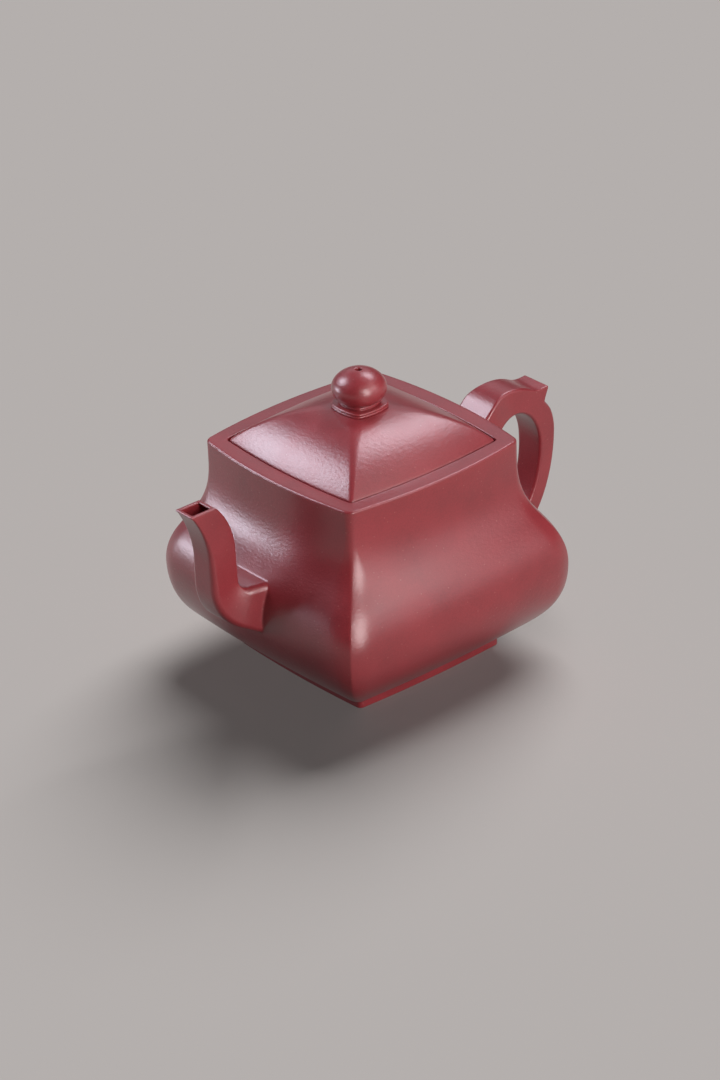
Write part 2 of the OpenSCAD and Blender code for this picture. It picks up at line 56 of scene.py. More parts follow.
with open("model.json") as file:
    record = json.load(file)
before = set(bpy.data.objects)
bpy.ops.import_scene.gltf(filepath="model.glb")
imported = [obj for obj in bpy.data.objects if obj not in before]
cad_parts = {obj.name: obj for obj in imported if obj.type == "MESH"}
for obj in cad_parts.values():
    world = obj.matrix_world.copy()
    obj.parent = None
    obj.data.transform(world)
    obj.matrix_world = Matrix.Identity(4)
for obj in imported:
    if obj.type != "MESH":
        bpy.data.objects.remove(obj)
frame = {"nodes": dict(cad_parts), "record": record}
CAD_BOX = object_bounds()

MM = 0.001
QUARTER = math.pi / 2

# Cells of the meshes: along half a rounded corner, along a side, up a wall, along a bend, round an edge,
# round the passage and round the floor
CORNER_CELLS = 8
SIDE_CELLS = 20
WALL_CELLS = 72
BEND_CELLS = 16
EDGE_CELLS = 4
PASSAGE_CELLS = 48
FLOOR_CELLS = 64
# What the foot and the neck show beyond their CAD nodes, read from the photograph
FOOT_MORE = 0.5 * MM
NECK_MORE = 1.2 * MM
# Height over which one arc of the body's profile passes into the next, to either side
PROFILE_SOFT = 3 * MM
# How far a side has turned where its corner begins
TURN_IN = math.radians(30)
# Power with which the turn-in stays wide up to the neck
TURN_IN_FADE = 3
# Powers with which the thumb rest curls up to its tip and falls from it
THUMB_CURL = 4
THUMB_FALL = 1.6
# Edges that turn by more than this stay hard
HARD_EDGE = math.radians(50)
# Points closer than this are one point
TOUCH = 0.001 * MM


def linear(hex_colour):
    """Linear red, green and blue of an sRGB hex colour."""
    parts = [int(hex_colour[i:i + 2], 16) / 255 for i in (1, 3, 5)]
    return [p / 12.92 if p <= 0.04045 else ((p + 0.055) / 1.055) ** 2.4 for p in parts]


def length(name, words, default):
    """A length in metres that a user may change."""
    return FloatProperty(
        name=name, description=words, default=default, precision=5, unit="LENGTH", subtype="DISTANCE"
    )


def angle(name, words, degrees):
    """An angle that a user may change, given in degrees."""
    return FloatProperty(
        name=name, description=words, default=math.radians(degrees), unit="ROTATION", subtype="ANGLE"
    )


def share(name, words, default):
    """A share between nothing and all that a user may change."""
    return FloatProperty(
        name=name, description=words, default=default, min=0, max=1, subtype="FACTOR"
    )


def tint(name, words, hex_colour):
    """A colour that a user may change, given in sRGB hex."""
    return FloatVectorProperty(
        name=name, description=words, default=linear(hex_colour), size=3, min=0, max=1, subtype="COLOR"
    )


def level(node, end):
    """Height of a CAD node's lower (0) or upper (1) end."""
    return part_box(node)[end].z


class BodySizes(bpy.types.PropertyGroup):
    """Sizes of the foot, the floor and the walls"""

    foot_h: length("Foot height", "Height of the foot below the body", level("foot", 1) + FOOT_MORE)
    foot_band: length("Foot band", "Width of the band that the foot stands on", 6 * MM)
    foot_bow: length("Foot bow", "How far a side of the foot bows out between its corners", 0.9 * MM)
    foot_corner_r: length("Foot corner", "Corner radius of the foot", 1.5 * MM)
    foot_edge_r: length("Foot edge", "Rounding of the foot's edges", 0.35 * MM)
    floor_w: length("Floor width", "Width of the pot's underside", 58.2 * MM)
    floor_edge_r: length("Floor edge", "Rounding of the floor slab's lower edge", 0.6 * MM)
    belly_w: length("Belly width", "Width of the body at the belly", 91 * MM)
    belly_z: length("Belly height", "Height of the widest part of the belly", 27.7 * MM)
    belly_r: length("Belly radius", "Radius of the belly's upright curve", 23 * MM)
    belly_bow: length("Belly bow", "How far a side bows out at the belly", 2.8 * MM)
    belly_corner_r: length("Belly corner", "Radius of the upright corners at the belly", 1.4 * MM)
    turn_in_r: length("Turn-in", "Radius with which a side turns in beside an upright corner", 16 * MM)
    neck_w: length("Neck width", "Width of the neck", 2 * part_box("mouth_frame")[1].x + NECK_MORE)
    neck_r: length("Neck radius", "Radius of the hollow curve from the belly to the neck", 27 * MM)
    neck_bow: length("Neck bow", "How far a side bows out at the neck and the rim", 3 * MM)
    neck_corner_r: length("Neck corner", "Radius of the upright corners at the neck", 3 * MM)
    wall_t: length("Wall", "Thickness of the wall slabs", 3.2 * MM)
    inner_corner_r: length("Inner corner", "Radius of the corners inside the pot", 2 * MM)
    passage_d: length("Passage", "Diameter of the passage behind the spout", 10.4 * MM)


class MouthSizes(bpy.types.PropertyGroup):
    """Sizes of the rim and of the lid's seat"""

    frame_band: length("Rim band", "Width of the rim's flat around the lid", 5.6 * MM)
    seat_ledge: length("Seat ledge", "Width of the ledge that the lid rests on", 5.65 * MM)
    rim_edge_r: length("Rim edge", "Rounding of the rim's outer edge", 0.6 * MM)
    inner_edge_r: length("Inner edge", "Rounding of the edges around the lid", 0.25 * MM)
    lid_gap: length("Lid gap", "Gap around the lid in its frame", 0.45 * MM)
    lid_bow: length("Lid bow", "How far a side of the lid and of its frame bows out", 1.7 * MM)


class LidSizes(bpy.types.PropertyGroup):
    """Sizes of the lid"""

    corner_r: length("Lid corner", "Corner radius of the lid", 1.4 * MM)
    edge_r: length("Lid edge", "Rounding of the lid's upper edge", 0.45 * MM)
    edge_sink: length("Lid sink", "How far the lid's upright edge stays below the rim", 0.2 * MM)
    arch: length("Lid arch", "How far the lid's slope arches above a straight line", 2.1 * MM)
    slab_t: length("Lid slab", "Thickness of the lid slab", 2.9 * MM)
    hip_r: length("Hip radius", "Radius of the hips where they fade out near the knob", 3 * MM)
    flange_t: length("Flange", "Thickness of the flange", 2.4 * MM)
    flange_gap: length("Flange gap", "Gap around the flange in the mouth", 0.45 * MM)
    flange_edge_r: length("Flange edge", "Rounding of the flange's lower edges", 0.5 * MM)
    vent_d: length("Vent", "Diameter of the vent hole", 1.8 * MM)
    vent_edge_r: length("Vent edge", "Rounding of the vent hole's edge", 0.35 * MM)


class KnobSizes(bpy.types.PropertyGroup):
    """Sizes of the knob, its collar and its base"""

    base_w: length("Base width", "Width of the square base under the knob", 14.2 * MM)
    line: length("Base line", "Depth of the line cut around the base", 0.35 * MM)
    collar_w: length("Collar width", "Width of the collar between the base and the knob", 11.4 * MM)
    corner_r: length("Base corner", "Corner radius of the base and the collar", 2.6 * MM)
    bow: length("Base bow", "How far a side of the base bows out", 1.1 * MM)
    ball_w: length("Knob width", "Width of the knob", 15.7 * MM)
    ball_h: length("Knob height", "Height that the knob's full form would have", 11.2 * MM)
    ball_up: length("Knob middle", "Height of the knob's middle above the collar", 3.7 * MM)
    ball_bow: length("Knob bow", "How far a side of the knob bows out", 2.2 * MM)
    ball_round: share("Knob corners", "Share of the knob's half width that rounds its corners", 0.72)


class SpoutSizes(bpy.types.PropertyGroup):
    """Sizes of the spout"""

    reach: length("Reach", "How far the lip reaches beyond the belly", 19.2 * MM)
    stand: length("Stand", "Clear distance between the belly and the back of the riser", 5.2 * MM)
    riser_d: length("Riser depth", "Depth of the riser from back to front", 8.7 * MM)
    riser_w: length("Riser width", "Width of the riser at the end of the lower bend", 9.9 * MM)
    root_up: length("Root height", "Height of the root's middle above the belly line", 4.2 * MM)
    root_h: length("Root depth", "Height of the root on the wall", 15.4 * MM)
    root_w: length("Root width", "Width of the root on the wall", 17.8 * MM)
    under_a: angle("Underside", "Slope of the spout's underside", 30)
    bend_r: length("Front bend", "Radius of the lower bend along the front", 17 * MM)
    heel_r: length("Heel", "Radius of the lower bend along the back", 3 * MM)
    front_curl: length("Front curl", "Height of the front curl below the mouth", 17.5 * MM)
    back_curl: length("Back curl", "Height of the back curl below the mouth", 13.8 * MM)
    mouth_d: length("Mouth depth", "Depth of the mouth from back to front", 8.6 * MM)
    mouth_w: length("Mouth width", "Width of the mouth", 7.4 * MM)
    root_t: length("Root wall", "Wall of the spout at its root", 2.6 * MM)
    mouth_t: length("Mouth wall", "Wall of the spout at its mouth", 1.2 * MM)
    taper_start: share("Taper", "Share of each taper that is done where its bend begins", 0.3)
    edge_r: length("Edge", "Rounding of the long edges at the mouth and along the back", 0.45 * MM)
    riser_edge_r: length("Riser edge", "Rounding of the spout's front edges along the riser", 1.9 * MM)
    root_edge_r: length("Root edge", "Rounding of the spout's long edges at the root", 2.1 * MM)
    channel_r: length("Channel corner", "Corner radius of the channel", 0.4 * MM)
    lip_r: length("Lip", "Rounding of the mouth's lip", 0.4 * MM)
    fillet_r: length("Fillet", "Radius of the hollow blend between the spout and the wall", 0.4 * MM)


class HandleSizes(bpy.types.PropertyGroup):
    """Sizes of the handle and its thumb rest"""

    rise_a: angle("Rise", "Slope of the handle where it leaves the wall", 44)
    shoulder_r: length("Shoulder", "Radius between the rise and the arch", 12 * MM)
    arch_run: length("Arch run", "Run of the arch from its top to the side bar", 18 * MM)
    arch_fall: length("Arch fall", "Drop of the arch from its top to the side bar", 18 * MM)
    arch_t: length("Arch thickness", "Thickness of the handle in its arch", 8.6 * MM)
    bar_t: length("Bar thickness", "Thickness of the handle in its side bar", 6 * MM)
    hole_run: length("Hole run", "Run of the finger hole's curve below the arch", 9.2 * MM)
    hole_fall: length("Hole fall", "Drop of the finger hole's curve below the arch", 13 * MM)
    tail_z: length("Tail height", "Height of the handle's tail on the lower belly", 17 * MM)
    tail_run: length("Tail run", "Length of the level tail outside the wall", 8 * MM)
    tail_t: length("Tail thickness", "Thickness of the handle at its tail", 6.4 * MM)
    root_w: length("Root width", "Width of the handle at its upper root", 12.8 * MM)
    arch_w: length("Arch width", "Width of the handle over its arch", 10.2 * MM)
    tail_w: length("Tail width", "Width of the handle at its tail", 8.8 * MM)
    edge_r: length("Edge", "Rounding of the handle's long edges", 1 * MM)
    fillet_r: length("Fillet", "Radius of the hollow blend between the handle and the wall", 1 * MM)
    thumb_h: length("Thumb rest", "How far the tip of the thumb rest stands out of the arch", 3.8 * MM)
    thumb_dip: length("Thumb dip", "Depth of the notch in the arch behind the thumb rest", 0.5 * MM)
    thumb_dip_a: angle("Thumb dip width", "Angle over which the notch fades out on each side", 7)
    thumb_tip_r: length("Thumb rest tip", "Rounding of the thumb rest's tip", 1.1 * MM)
    thumb_edge_r: length("Thumb rest edge", "Rounding of the thumb rest's side edges", 1 * MM)
    thumb_start_a: angle("Thumb rest start", "Angle round the arch where the rest begins", 72)
    thumb_tip_a: angle("Thumb rest tip angle", "Angle round the arch of the rest's tip", 43)
    thumb_end_a: angle("Thumb rest end", "Angle round the arch where the rest ends", 34)


class ClayLooks(bpy.types.PropertyGroup):
    """Colours and grain of the fired clay"""

    pot: tint("Pot", "Clay of the pot", "#8b2d33")
    lid: tint("Lid", "Clay of the lid", "#8d3036")
    inside: tint("Inside", "Matt clay inside the pot", "#743031")
    cloud_size: length("Clouds", "Size of the soft colour clouds from the firing", 16 * MM)
    ripple_size: length("Ripple", "Size of the burnishing ripple", 0.65 * MM)
    ripple_depth: length("Ripple depth", "Depth of the burnishing ripple", 0.062 * MM)
    # The real grain is about 0.1 mm, too fine to show in the render, so it is drawn coarser
    grain_size: length("Grain", "Size of the sandy grain", 0.4 * MM)
    grain_depth: length("Grain depth", "Depth of the sandy grain", 0.012 * MM)
    speck_gap: length("Specks", "Distance between the pale mineral specks", 2.4 * MM)
    speck: tint("Speck colour", "Pale mineral specks in the clay", "#c08c82")
    gloss: share("Roughness", "Roughness of the burnished face", 0.39)
    polish: share("Polish", "Weight of the thin polished skin that burnishing leaves", 0.8)
    skin: share("Skin roughness", "Roughness of the polished skin", 0.27)
    matt: share("Matt roughness", "Roughness of the clay inside the pot", 0.62)


class StageLooks(bpy.types.PropertyGroup):
    """Camera, floor and studio light"""

    azimuth: angle("Azimuth", "Camera's turn about the upright axis", -39.44)
    elevation: angle("Elevation", "Camera's height above the horizon", 28.48)
    roll: angle("Roll", "Camera's turn about its own axis", -2.46)
    distance: length("Distance", "Distance of the camera from its target", 1166.7 * MM)
    target: FloatVectorProperty(
        name="Target", description="Point that the camera looks at", size=3, unit="LENGTH",
        subtype="XYZ", default=(5.85 * MM, 9.64 * MM, 28.35 * MM),
    )
    lens: FloatProperty(
        name="Lens", description="Focal length for a frame 36 mm wide", default=133.33, unit="CAMERA"
    )
    floor: tint("Floor", "Pale floor", "#b2adab")
    floor_bounce: tint("Floor bounce", "What the floor gives back to the pot's underside", "#443f3d")
    floor_even: share("Even floor", "Share of the floor's brightness that no shadow takes away", 0.16)
    floor_azimuth: angle("Floor light azimuth", "Where the floor's own light comes from", 116)
    floor_elevation: angle("Floor light elevation", "Height of the floor's own light", 46)
    shadow_soft: angle("Shadow softness", "Width of the floor's own light", 44)
    ambient: share("Ambient", "Strength of the even light from all round", 0.06)


def away(azimuth, elevation):
    """Direction from the pot; azimuth 0 is -Y, and it grows towards +X."""
    flat = math.cos(elevation)
    return Vector((math.sin(azimuth) * flat, -math.cos(azimuth) * flat, math.sin(elevation)))


def mix(a, b, t):
    """Value at share t of the way from a to b."""
    return a + (b - a) * t


def ease(t):
    """Share that starts and ends softly, held between 0 and 1."""
    u = min(max(t, 0), 1)
    return u * u * (3 - 2 * u)


def steps(count, first=0):
    """Shares from 0 to 1 in a number of cells, from the cell named first."""
    return [i / count for i in range(first, count + 1)]


class BodyForm:
    """Outer form of the body: square sections with bowed sides along an upright profile."""

    def __init__(self, sizes):
        self.sizes = sizes
        self.foot_z = sizes.foot_h
        self.belly_x = sizes.belly_w / 2 - sizes.belly_r
        self.neck_x = sizes.neck_w / 2 + sizes.neck_r
        reach = sizes.belly_r + sizes.neck_r
        self.neck_z = sizes.belly_z + math.sqrt(reach ** 2 - (self.neck_x - self.belly_x) ** 2)
        self.join_up = (self.neck_z - sizes.belly_z) / reach
        base = Vector((self.belly_x - sizes.floor_w / 2, sizes.belly_z - self.foot_z))
        self.base_a = math.atan2(base.y, base.x) - math.asin(sizes.belly_r / base.length)

    def half(self, z, inset=0.0):
        """Half width at height z, moved in by inset, with a soft change from arc to arc."""
        heights = [z + PROFILE_SOFT * mix(-1, 1, t) for t in steps(2 * EDGE_CELLS)]
        return sum(self.profile(near, inset) for near in heights) / len(heights)

    def profile(self, z, inset):
        """Half width on the straight base, the arc of the belly or the arc of the neck."""
        s = self.sizes
        r = s.belly_r - inset
        if z < s.belly_z - r * math.cos(self.base_a):
            run = z - self.foot_z - inset * math.cos(self.base_a)
            return s.floor_w / 2 - inset * math.sin(self.base_a) + run / math.tan(self.base_a)
        if z < s.belly_z + r * self.join_up:
            return self.belly_x + math.sqrt(r ** 2 - (z - s.belly_z) ** 2)
        if z < self.neck_z:
            return self.neck_x - math.sqrt((s.neck_r + inset) ** 2 - (z - self.neck_z) ** 2)
        return s.neck_w / 2 - inset

    def along(self, z, low, mid, high):
        """Value that changes smoothly from the foot to the belly and on to the neck."""
        belly_z = self.sizes.belly_z
        if z < belly_z:
            return mix(low, mid, ease((z - self.foot_z) / (belly_z - self.foot_z)))
        return mix(mid, high, ease((z - belly_z) / (self.neck_z - belly_z)))

    def bow(self, z):
        """How far a side bows out at height z."""
        s = self.sizes
        return self.along(z, s.foot_bow, s.belly_bow, s.neck_bow)

    def corner_r(self, z):
        """Radius of the upright corners at height z."""
        s = self.sizes
        return self.along(z, s.foot_corner_r, s.belly_corner_r, s.neck_corner_r)

    def turn_in(self, z):
        """Radius with which a side turns in beside its corners at height z."""
        s = self.sizes
        wide = self.along(z, s.foot_corner_r, s.turn_in_r, s.turn_in_r)
        up = (z - s.belly_z) / (self.neck_z - s.belly_z)
        return mix(wide, s.neck_corner_r, ease(up) ** TURN_IN_FADE)

    def side(self, z):
        """Points of one outer side at height z."""
        return square_side(self.half(z), self.bow(z), self.corner_r(z), self.turn_in(z))

    def inner_side(self, z):
        """Points of one inner side at height z."""
        s = self.sizes
        return square_side(self.half(z, s.wall_t), self.bow(z), s.inner_corner_r)

    def ring(self, z, inset=0.0):
        """Ring round the body at height z, moved in by inset."""
        return square_ring(z, self.half(z) - inset, self.bow(z), self.corner_r(z), self.turn_in(z))

    def gap(self, point):
        """Level distance of a point outside the wall that it faces along X."""
        half, bow = self.half(point.z), self.bow(point.z)
        arc_r = side_radius(half, bow)
        return abs(point.x) - (half - arc_r + math.sqrt(arc_r ** 2 - point.y ** 2))


def arc(centre, r, first, last, share_of):
    """Point on an arc between two angles."""
    a = mix(first, last, share_of)
    return Vector((centre[0] + r * math.cos(a), centre[1] + r * math.sin(a)))


def side_radius(half, bow):
    """Radius of a side that bows out between its corners."""
    return ((half - bow) ** 2 + bow ** 2) / (2 * bow)


def square_side(half, bow, r, turn_in=None):
    """Points of one side of a bowed square that faces +X, from mid corner to mid corner.

    A side runs into its corner on three arcs that are tangent to each other: the bowed side itself, a
    turn-in of a smaller radius, and the corner. Without a turn-in, the corner takes its place.
    """
    soft_r = turn_in or r
    arc_r = side_radius(half, bow)
    arc_x = half - arc_r
    lean = (soft_r - r) * (math.cos(TURN_IN) - math.sin(TURN_IN))
    arc_a = math.acos(-(arc_x + lean) / (arc_r - soft_r) / math.sqrt(2)) - QUARTER / 2
    soft = Vector((arc_x, 0)) + (arc_r - soft_r) * Vector((math.cos(arc_a), math.sin(arc_a)))
    corner = soft + (soft_r - r) * Vector((math.cos(TURN_IN), math.sin(TURN_IN)))
    side = [arc((arc_x, 0), arc_r, 0, arc_a, t) for t in steps(SIDE_CELLS // 2)]
    side += [arc(soft, soft_r, arc_a, TURN_IN, t) for t in steps(CORNER_CELLS // 2, 1)]
    side += [arc(corner, r, TURN_IN, QUARTER / 2, t) for t in steps(CORNER_CELLS // 2, 1)]
    return [(p.x, -p.y) for p in side[:0:-1]] + [(p.x, p.y) for p in side]


def turned(point, k, z):
    """A point of a side that faces +X, turned by k quarter turns and set at height z."""
    x, y = point
    return Vector([(x, y, z), (-y, x, z), (-x, -y, z), (y, -x, z)][k])


def square_ring(z, half, bow, r, turn_in=None):
    """Closed ring of points round a bowed square at height z."""
    side = square_side(half, bow, r, turn_in)
    return [turned(p, k, z) for k in range(4) for p in side[:-1]]


def round_ring(z, r):
    """Circle with as many points as a square ring, in the same order."""
    cells = 2 * CORNER_CELLS + SIDE_CELLS
    turns = [mix(-QUARTER / 2, QUARTER / 2, t) for t in steps(cells)]
    side = [(r * math.cos(a), r * math.sin(a)) for a in turns]
    return [turned(p, k, z) for k in range(4) for p in side[:-1]]


def between(ring_a, ring_b, t):
    """Ring at share t of the way from one ring to another."""
    return [a.lerp(b, t) for a, b in zip(ring_a, ring_b)]


def edge_steps(r):
    """How far a quarter-round edge has gone in and up, from its upright face to its top."""
    return [(r * (1 - math.cos(QUARTER * t)), r * math.sin(QUARTER * t)) for t in steps(EDGE_CELLS)]


def loft(rings, closed=False):
    """Skin over rings of points: a circle is set on the first ring and extruded from ring to ring.

    A closed skin runs back into its first ring, and an open one gets a flat end at each side.
    """
    bm = bmesh.new()
    bmesh.ops.create_circle(bm, segments=len(rings[0]))
    first = list(bm.verts)
    first_edges = list(bm.edges)
    for vert, point in zip(first, rings[0]):
        vert.co = point
    ring, edges = first, first_edges
    for points in rings[1:] + ([rings[0]] if closed else []):
        made = bmesh.ops.extrude_edge_only(bm, edges=edges)["geom"]
        fresh = {g for g in made if isinstance(g, bmesh.types.BMVert)}
        edges = [g for g in made if isinstance(g, bmesh.types.BMEdge)]
        ring = [next(e.other_vert(v) for e in v.link_edges if e.other_vert(v) in fresh) for v in ring]
        for vert, point in zip(ring, points):
            vert.co = point
    if closed:
        bmesh.ops.remove_doubles(bm, verts=first + ring, dist=TOUCH)
    else:
        bmesh.ops.contextual_create(bm, geom=first_edges)
        bmesh.ops.contextual_create(bm, geom=edges)
    bmesh.ops.recalc_face_normals(bm, faces=bm.faces)
    return bm


def body_of(node):
    """Name of the CAD body that a node belongs to."""
    bodies = frame["record"]["behaviour"]["bodies"]
    return next(body for body, nodes in bodies.items() if node in nodes)


def slot_of(node):
    """Name of the record's material slot of a node."""
    return next(p["material_slot"] for p in frame["record"]["subparts"] if p["node"] == node)


def make_object(scene, name, bm):
    """Object in the scene from a finished bmesh."""
    mesh = bpy.data.meshes.new(name)
    bm.to_mesh(mesh)
    bm.free()
    made = bpy.data.objects.new(name, mesh)
    scene.collection.objects.link(made)
    return made


def make_piece(context, node, bm):
    """Piece from a finished bmesh that stands for a CAD node, in that node's clay."""
    piece = make_object(context.scene, "clay_" + node, bm)
    piece.data.shade_smooth()
    piece.data.set_sharp_from_angle(angle=HARD_EDGE)
    piece.data.materials.append(clay(context, slot_of(node)))
    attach(piece, body_of(node))
    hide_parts(node)
    return piece


def share_normals(piece, skin):
    """Gives a slab the normals of the whole skin that it is cut from, so that no joint shows."""
    skin.normal_update()
    points = list(skin.verts)
    tree = kdtree.KDTree(len(points))
    for i, vert in enumerate(points):
        tree.insert(vert.co, i)
    tree.balance()
    mesh = piece.data
    normals = [corner.vector.copy() for corner in mesh.corner_normals]
    for face in mesh.polygons:
        for corner in face.loop_indices:
            _, index, distance = tree.find(mesh.vertices[mesh.loops[corner].vertex_index].co)
            normal = points[index].normal
            if distance < TOUCH and normal.dot(face.normal) > math.cos(HARD_EDGE):
                normals[corner] = normal
    mesh.normals_split_custom_set(normals)


# Colour sockets of a Mix node: its two inputs and its output
MIX_A = 6
MIX_B = 7
MIX_OUT = 2


def add(tree, kind, fields=None, inputs=None):
    """Adds a node; each input is a value, or another node's output to link."""
    node = tree.nodes.new(kind)
    for name, value in (fields or {}).items():
        setattr(node, name, value)
    for name, value in (inputs or {}).items():
        if isinstance(value, bpy.types.NodeSocket):
            tree.links.new(value, node.inputs[name])
        else:
            node.inputs[name].default_value = value
    return node


# Values that a noise mostly stays between
NOISE_SPAN = (0.3, 0.7)
# How dark and how pale the clay gets in its clouds and in its grain
CLOUD_SPAN = (0.86, 1.12)
GRAIN_SPAN = (0.9, 1.1)
# How much smoother and rougher the clay gets in its clouds
ROUGH_SPAN = (-0.04, 0.06)
# Where a speck begins to fade and ends, as shares of the distance between specks, and how much it covers
SPECK_SPAN = (0.05, 0.12)
SPECK_COVER = 0.2
# Burnishing goes round the pot, so its ripple is drawn out level
STROKE = (0.5, 0.5, 1.0)
# Fired clay and its polished skin
CLAY_IOR = 1.5


def clay(context, slot):
    """Unglazed stoneware of iron-rich clay, burnished before firing, for one of the record's slots.

    Burnishing leaves a satin skin with a low, wavering sheen. The sandy clay under it shows as a fine
    ripple in the highlights, soft clouds of colour from the firing and a few pale mineral specks. The
    clay inside the pot is the same, but it isn't burnished and stays matt.
    """
    inside = slot == "inner_clay"
    name = ("matt" if inside else "burnished") + "_stoneware_" + slot
    if name in bpy.data.materials:
        return bpy.data.materials[name]
    looks = context.scene.teapot_clay
    colour = Vector({"pot_clay": looks.pot, "lid_clay": looks.lid, "inner_clay": looks.inside}[slot])
    material = bpy.data.materials.new(name)
    material.use_nodes = True
    tree = material.node_tree
    tree.nodes.clear()
    place = add(tree, "ShaderNodeTexCoord").outputs["Object"]

    clouds = add(tree, "ShaderNodeTexNoise", inputs={
        "Vector": place, "Scale": 1 / looks.cloud_size, "Detail": 5.0, "Roughness": 0.6,
    }).outputs["Fac"]
    base = add(tree, "ShaderNodeValToRGB", inputs={"Fac": clouds})
    for stop, position, part in zip(base.color_ramp.elements, NOISE_SPAN, CLOUD_SPAN):
        stop.position = position
        stop.color = (*(colour * part), 1)

    grain = add(tree, "ShaderNodeTexNoise", inputs={
        "Vector": place, "Scale": 1 / looks.grain_size, "Detail": 2.0, "Roughness": 0.6,
    }).outputs["Fac"]
    sandy = add(tree, "ShaderNodeMapRange", inputs={
        "Value": grain, "From Min": NOISE_SPAN[0], "From Max": NOISE_SPAN[1],
        "To Min": GRAIN_SPAN[0], "To Max": GRAIN_SPAN[1],
    }).outputs["Result"]
    grained = add(tree, "ShaderNodeMix", {"data_type": "RGBA", "blend_type": "MULTIPLY"}, {
        "Factor": 1.0, MIX_A: base.outputs["Color"], MIX_B: sandy,
    }).outputs[MIX_OUT]

    speck = add(tree, "ShaderNodeTexVoronoi", inputs={
        "Vector": place, "Scale": 1 / looks.speck_gap, "Randomness": 1.0,
    }).outputs["Distance"]
    pale = add(tree, "ShaderNodeMapRange", inputs={
        "Value": speck, "From Min": SPECK_SPAN[0], "From Max": SPECK_SPAN[1],
        "To Min": SPECK_COVER, "To Max": 0.0,
    }).outputs["Result"]
    specked = add(tree, "ShaderNodeMix", {"data_type": "RGBA"}, {
        "Factor": pale, MIX_A: grained, MIX_B: (*looks.speck, 1),
    }).outputs[MIX_OUT]

    stroke = add(tree, "ShaderNodeMapping", inputs={"Vector": place, "Scale": STROKE})
    ripple = add(tree, "ShaderNodeTexNoise", inputs={
        "Vector": stroke.outputs["Vector"], "Scale": 1 / looks.ripple_size, "Detail": 3.0,
        "Roughness": 0.55,
    }).outputs["Fac"]
    rippled = add(tree, "ShaderNodeBump", inputs={
        "Height": ripple, "Distance": looks.ripple_depth, "Strength": 1.0,
    }).outputs["Normal"]
    sanded = add(tree, "ShaderNodeBump", inputs={
        "Height": grain, "Distance": looks.grain_depth, "Strength": 1.0, "Normal": rippled,
    }).outputs["Normal"]

    middle = looks.matt if inside else looks.gloss
    roughness = add(tree, "ShaderNodeMapRange", inputs={
        "Value": clouds, "From Min": NOISE_SPAN[0], "From Max": NOISE_SPAN[1],
        "To Min": middle + ROUGH_SPAN[0], "To Max": middle + ROUGH_SPAN[1],
    }).outputs["Result"]
    shader = add(tree, "ShaderNodeBsdfPrincipled", inputs={
        "Base Color": specked, "Roughness": roughness, "IOR": CLAY_IOR, "Normal": sanded,
        "Coat Weight": 0.0 if inside else looks.polish, "Coat Roughness": looks.skin,
        "Coat IOR": CLAY_IOR, "Coat Normal": sanded,
    })
    add(tree, "ShaderNodeOutputMaterial", inputs={"Surface": shader.outputs["BSDF"]})
    return material


class TEAPOT_OT_foot(bpy.types.Operator):
    """Thin square ring that the pot stands on"""

    bl_idname = "teapot.foot"
    bl_label = "Foot"

    def execute(self, context):
        sizes = context.scene.teapot_body
        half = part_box("foot")[1].x
        low, high = level("foot", 0), sizes.foot_h
        edge = edge_steps(sizes.foot_edge_r)

        def ring(z, inset):
            return square_ring(z, half - inset, sizes.foot_bow, sizes.foot_corner_r)

        rings = [ring(low + sizes.foot_edge_r - up, inset) for inset, up in reversed(edge)]
        rings += [ring(high, 0), ring(high, sizes.foot_band), ring(low, sizes.foot_band)]
        make_piece(context, "foot", loft(rings, closed=True))
        return {"FINISHED"}


def wall_heights():
    """Heights of the rows of the wall slabs."""
    low, high = level("floor_slab", 1), level("lid_seat", 0)
    return [mix(low, high, t) for t in steps(WALL_CELLS)]


def floor_rings(form):
    """Rings up the outside of the floor slab, with its rounded lower edge."""
    r = form.sizes.floor_edge_r
    low, high = form.foot_z, level("floor_slab", 1)
    edge = [form.ring(low + r - up, inset) for inset, up in reversed(edge_steps(r))]
    return edge + [form.ring(mix(low + r, high, t)) for t in steps(EDGE_CELLS, 1)]


def frame_edge(form, mouth):
    """Rings up the outside of the mouth frame and over its rounded edge."""
    low, high = level("mouth_frame", 0), level("mouth_frame", 1)
    r = mouth.rim_edge_r
    upright = [form.ring(mix(low, high - r, t)) for t in steps(EDGE_CELLS)]
    return upright + [form.ring(high - r + up, inset) for inset, up in edge_steps(r)[1:]]


def body_skin(form, mouth):
    """Whole outer skin of the body, which gives its slabs their normals."""
    rings = floor_rings(form)
    rings += [form.ring(z) for z in wall_heights()[1:]]
    rings += frame_edge(form, mouth)
    return loft(rings)


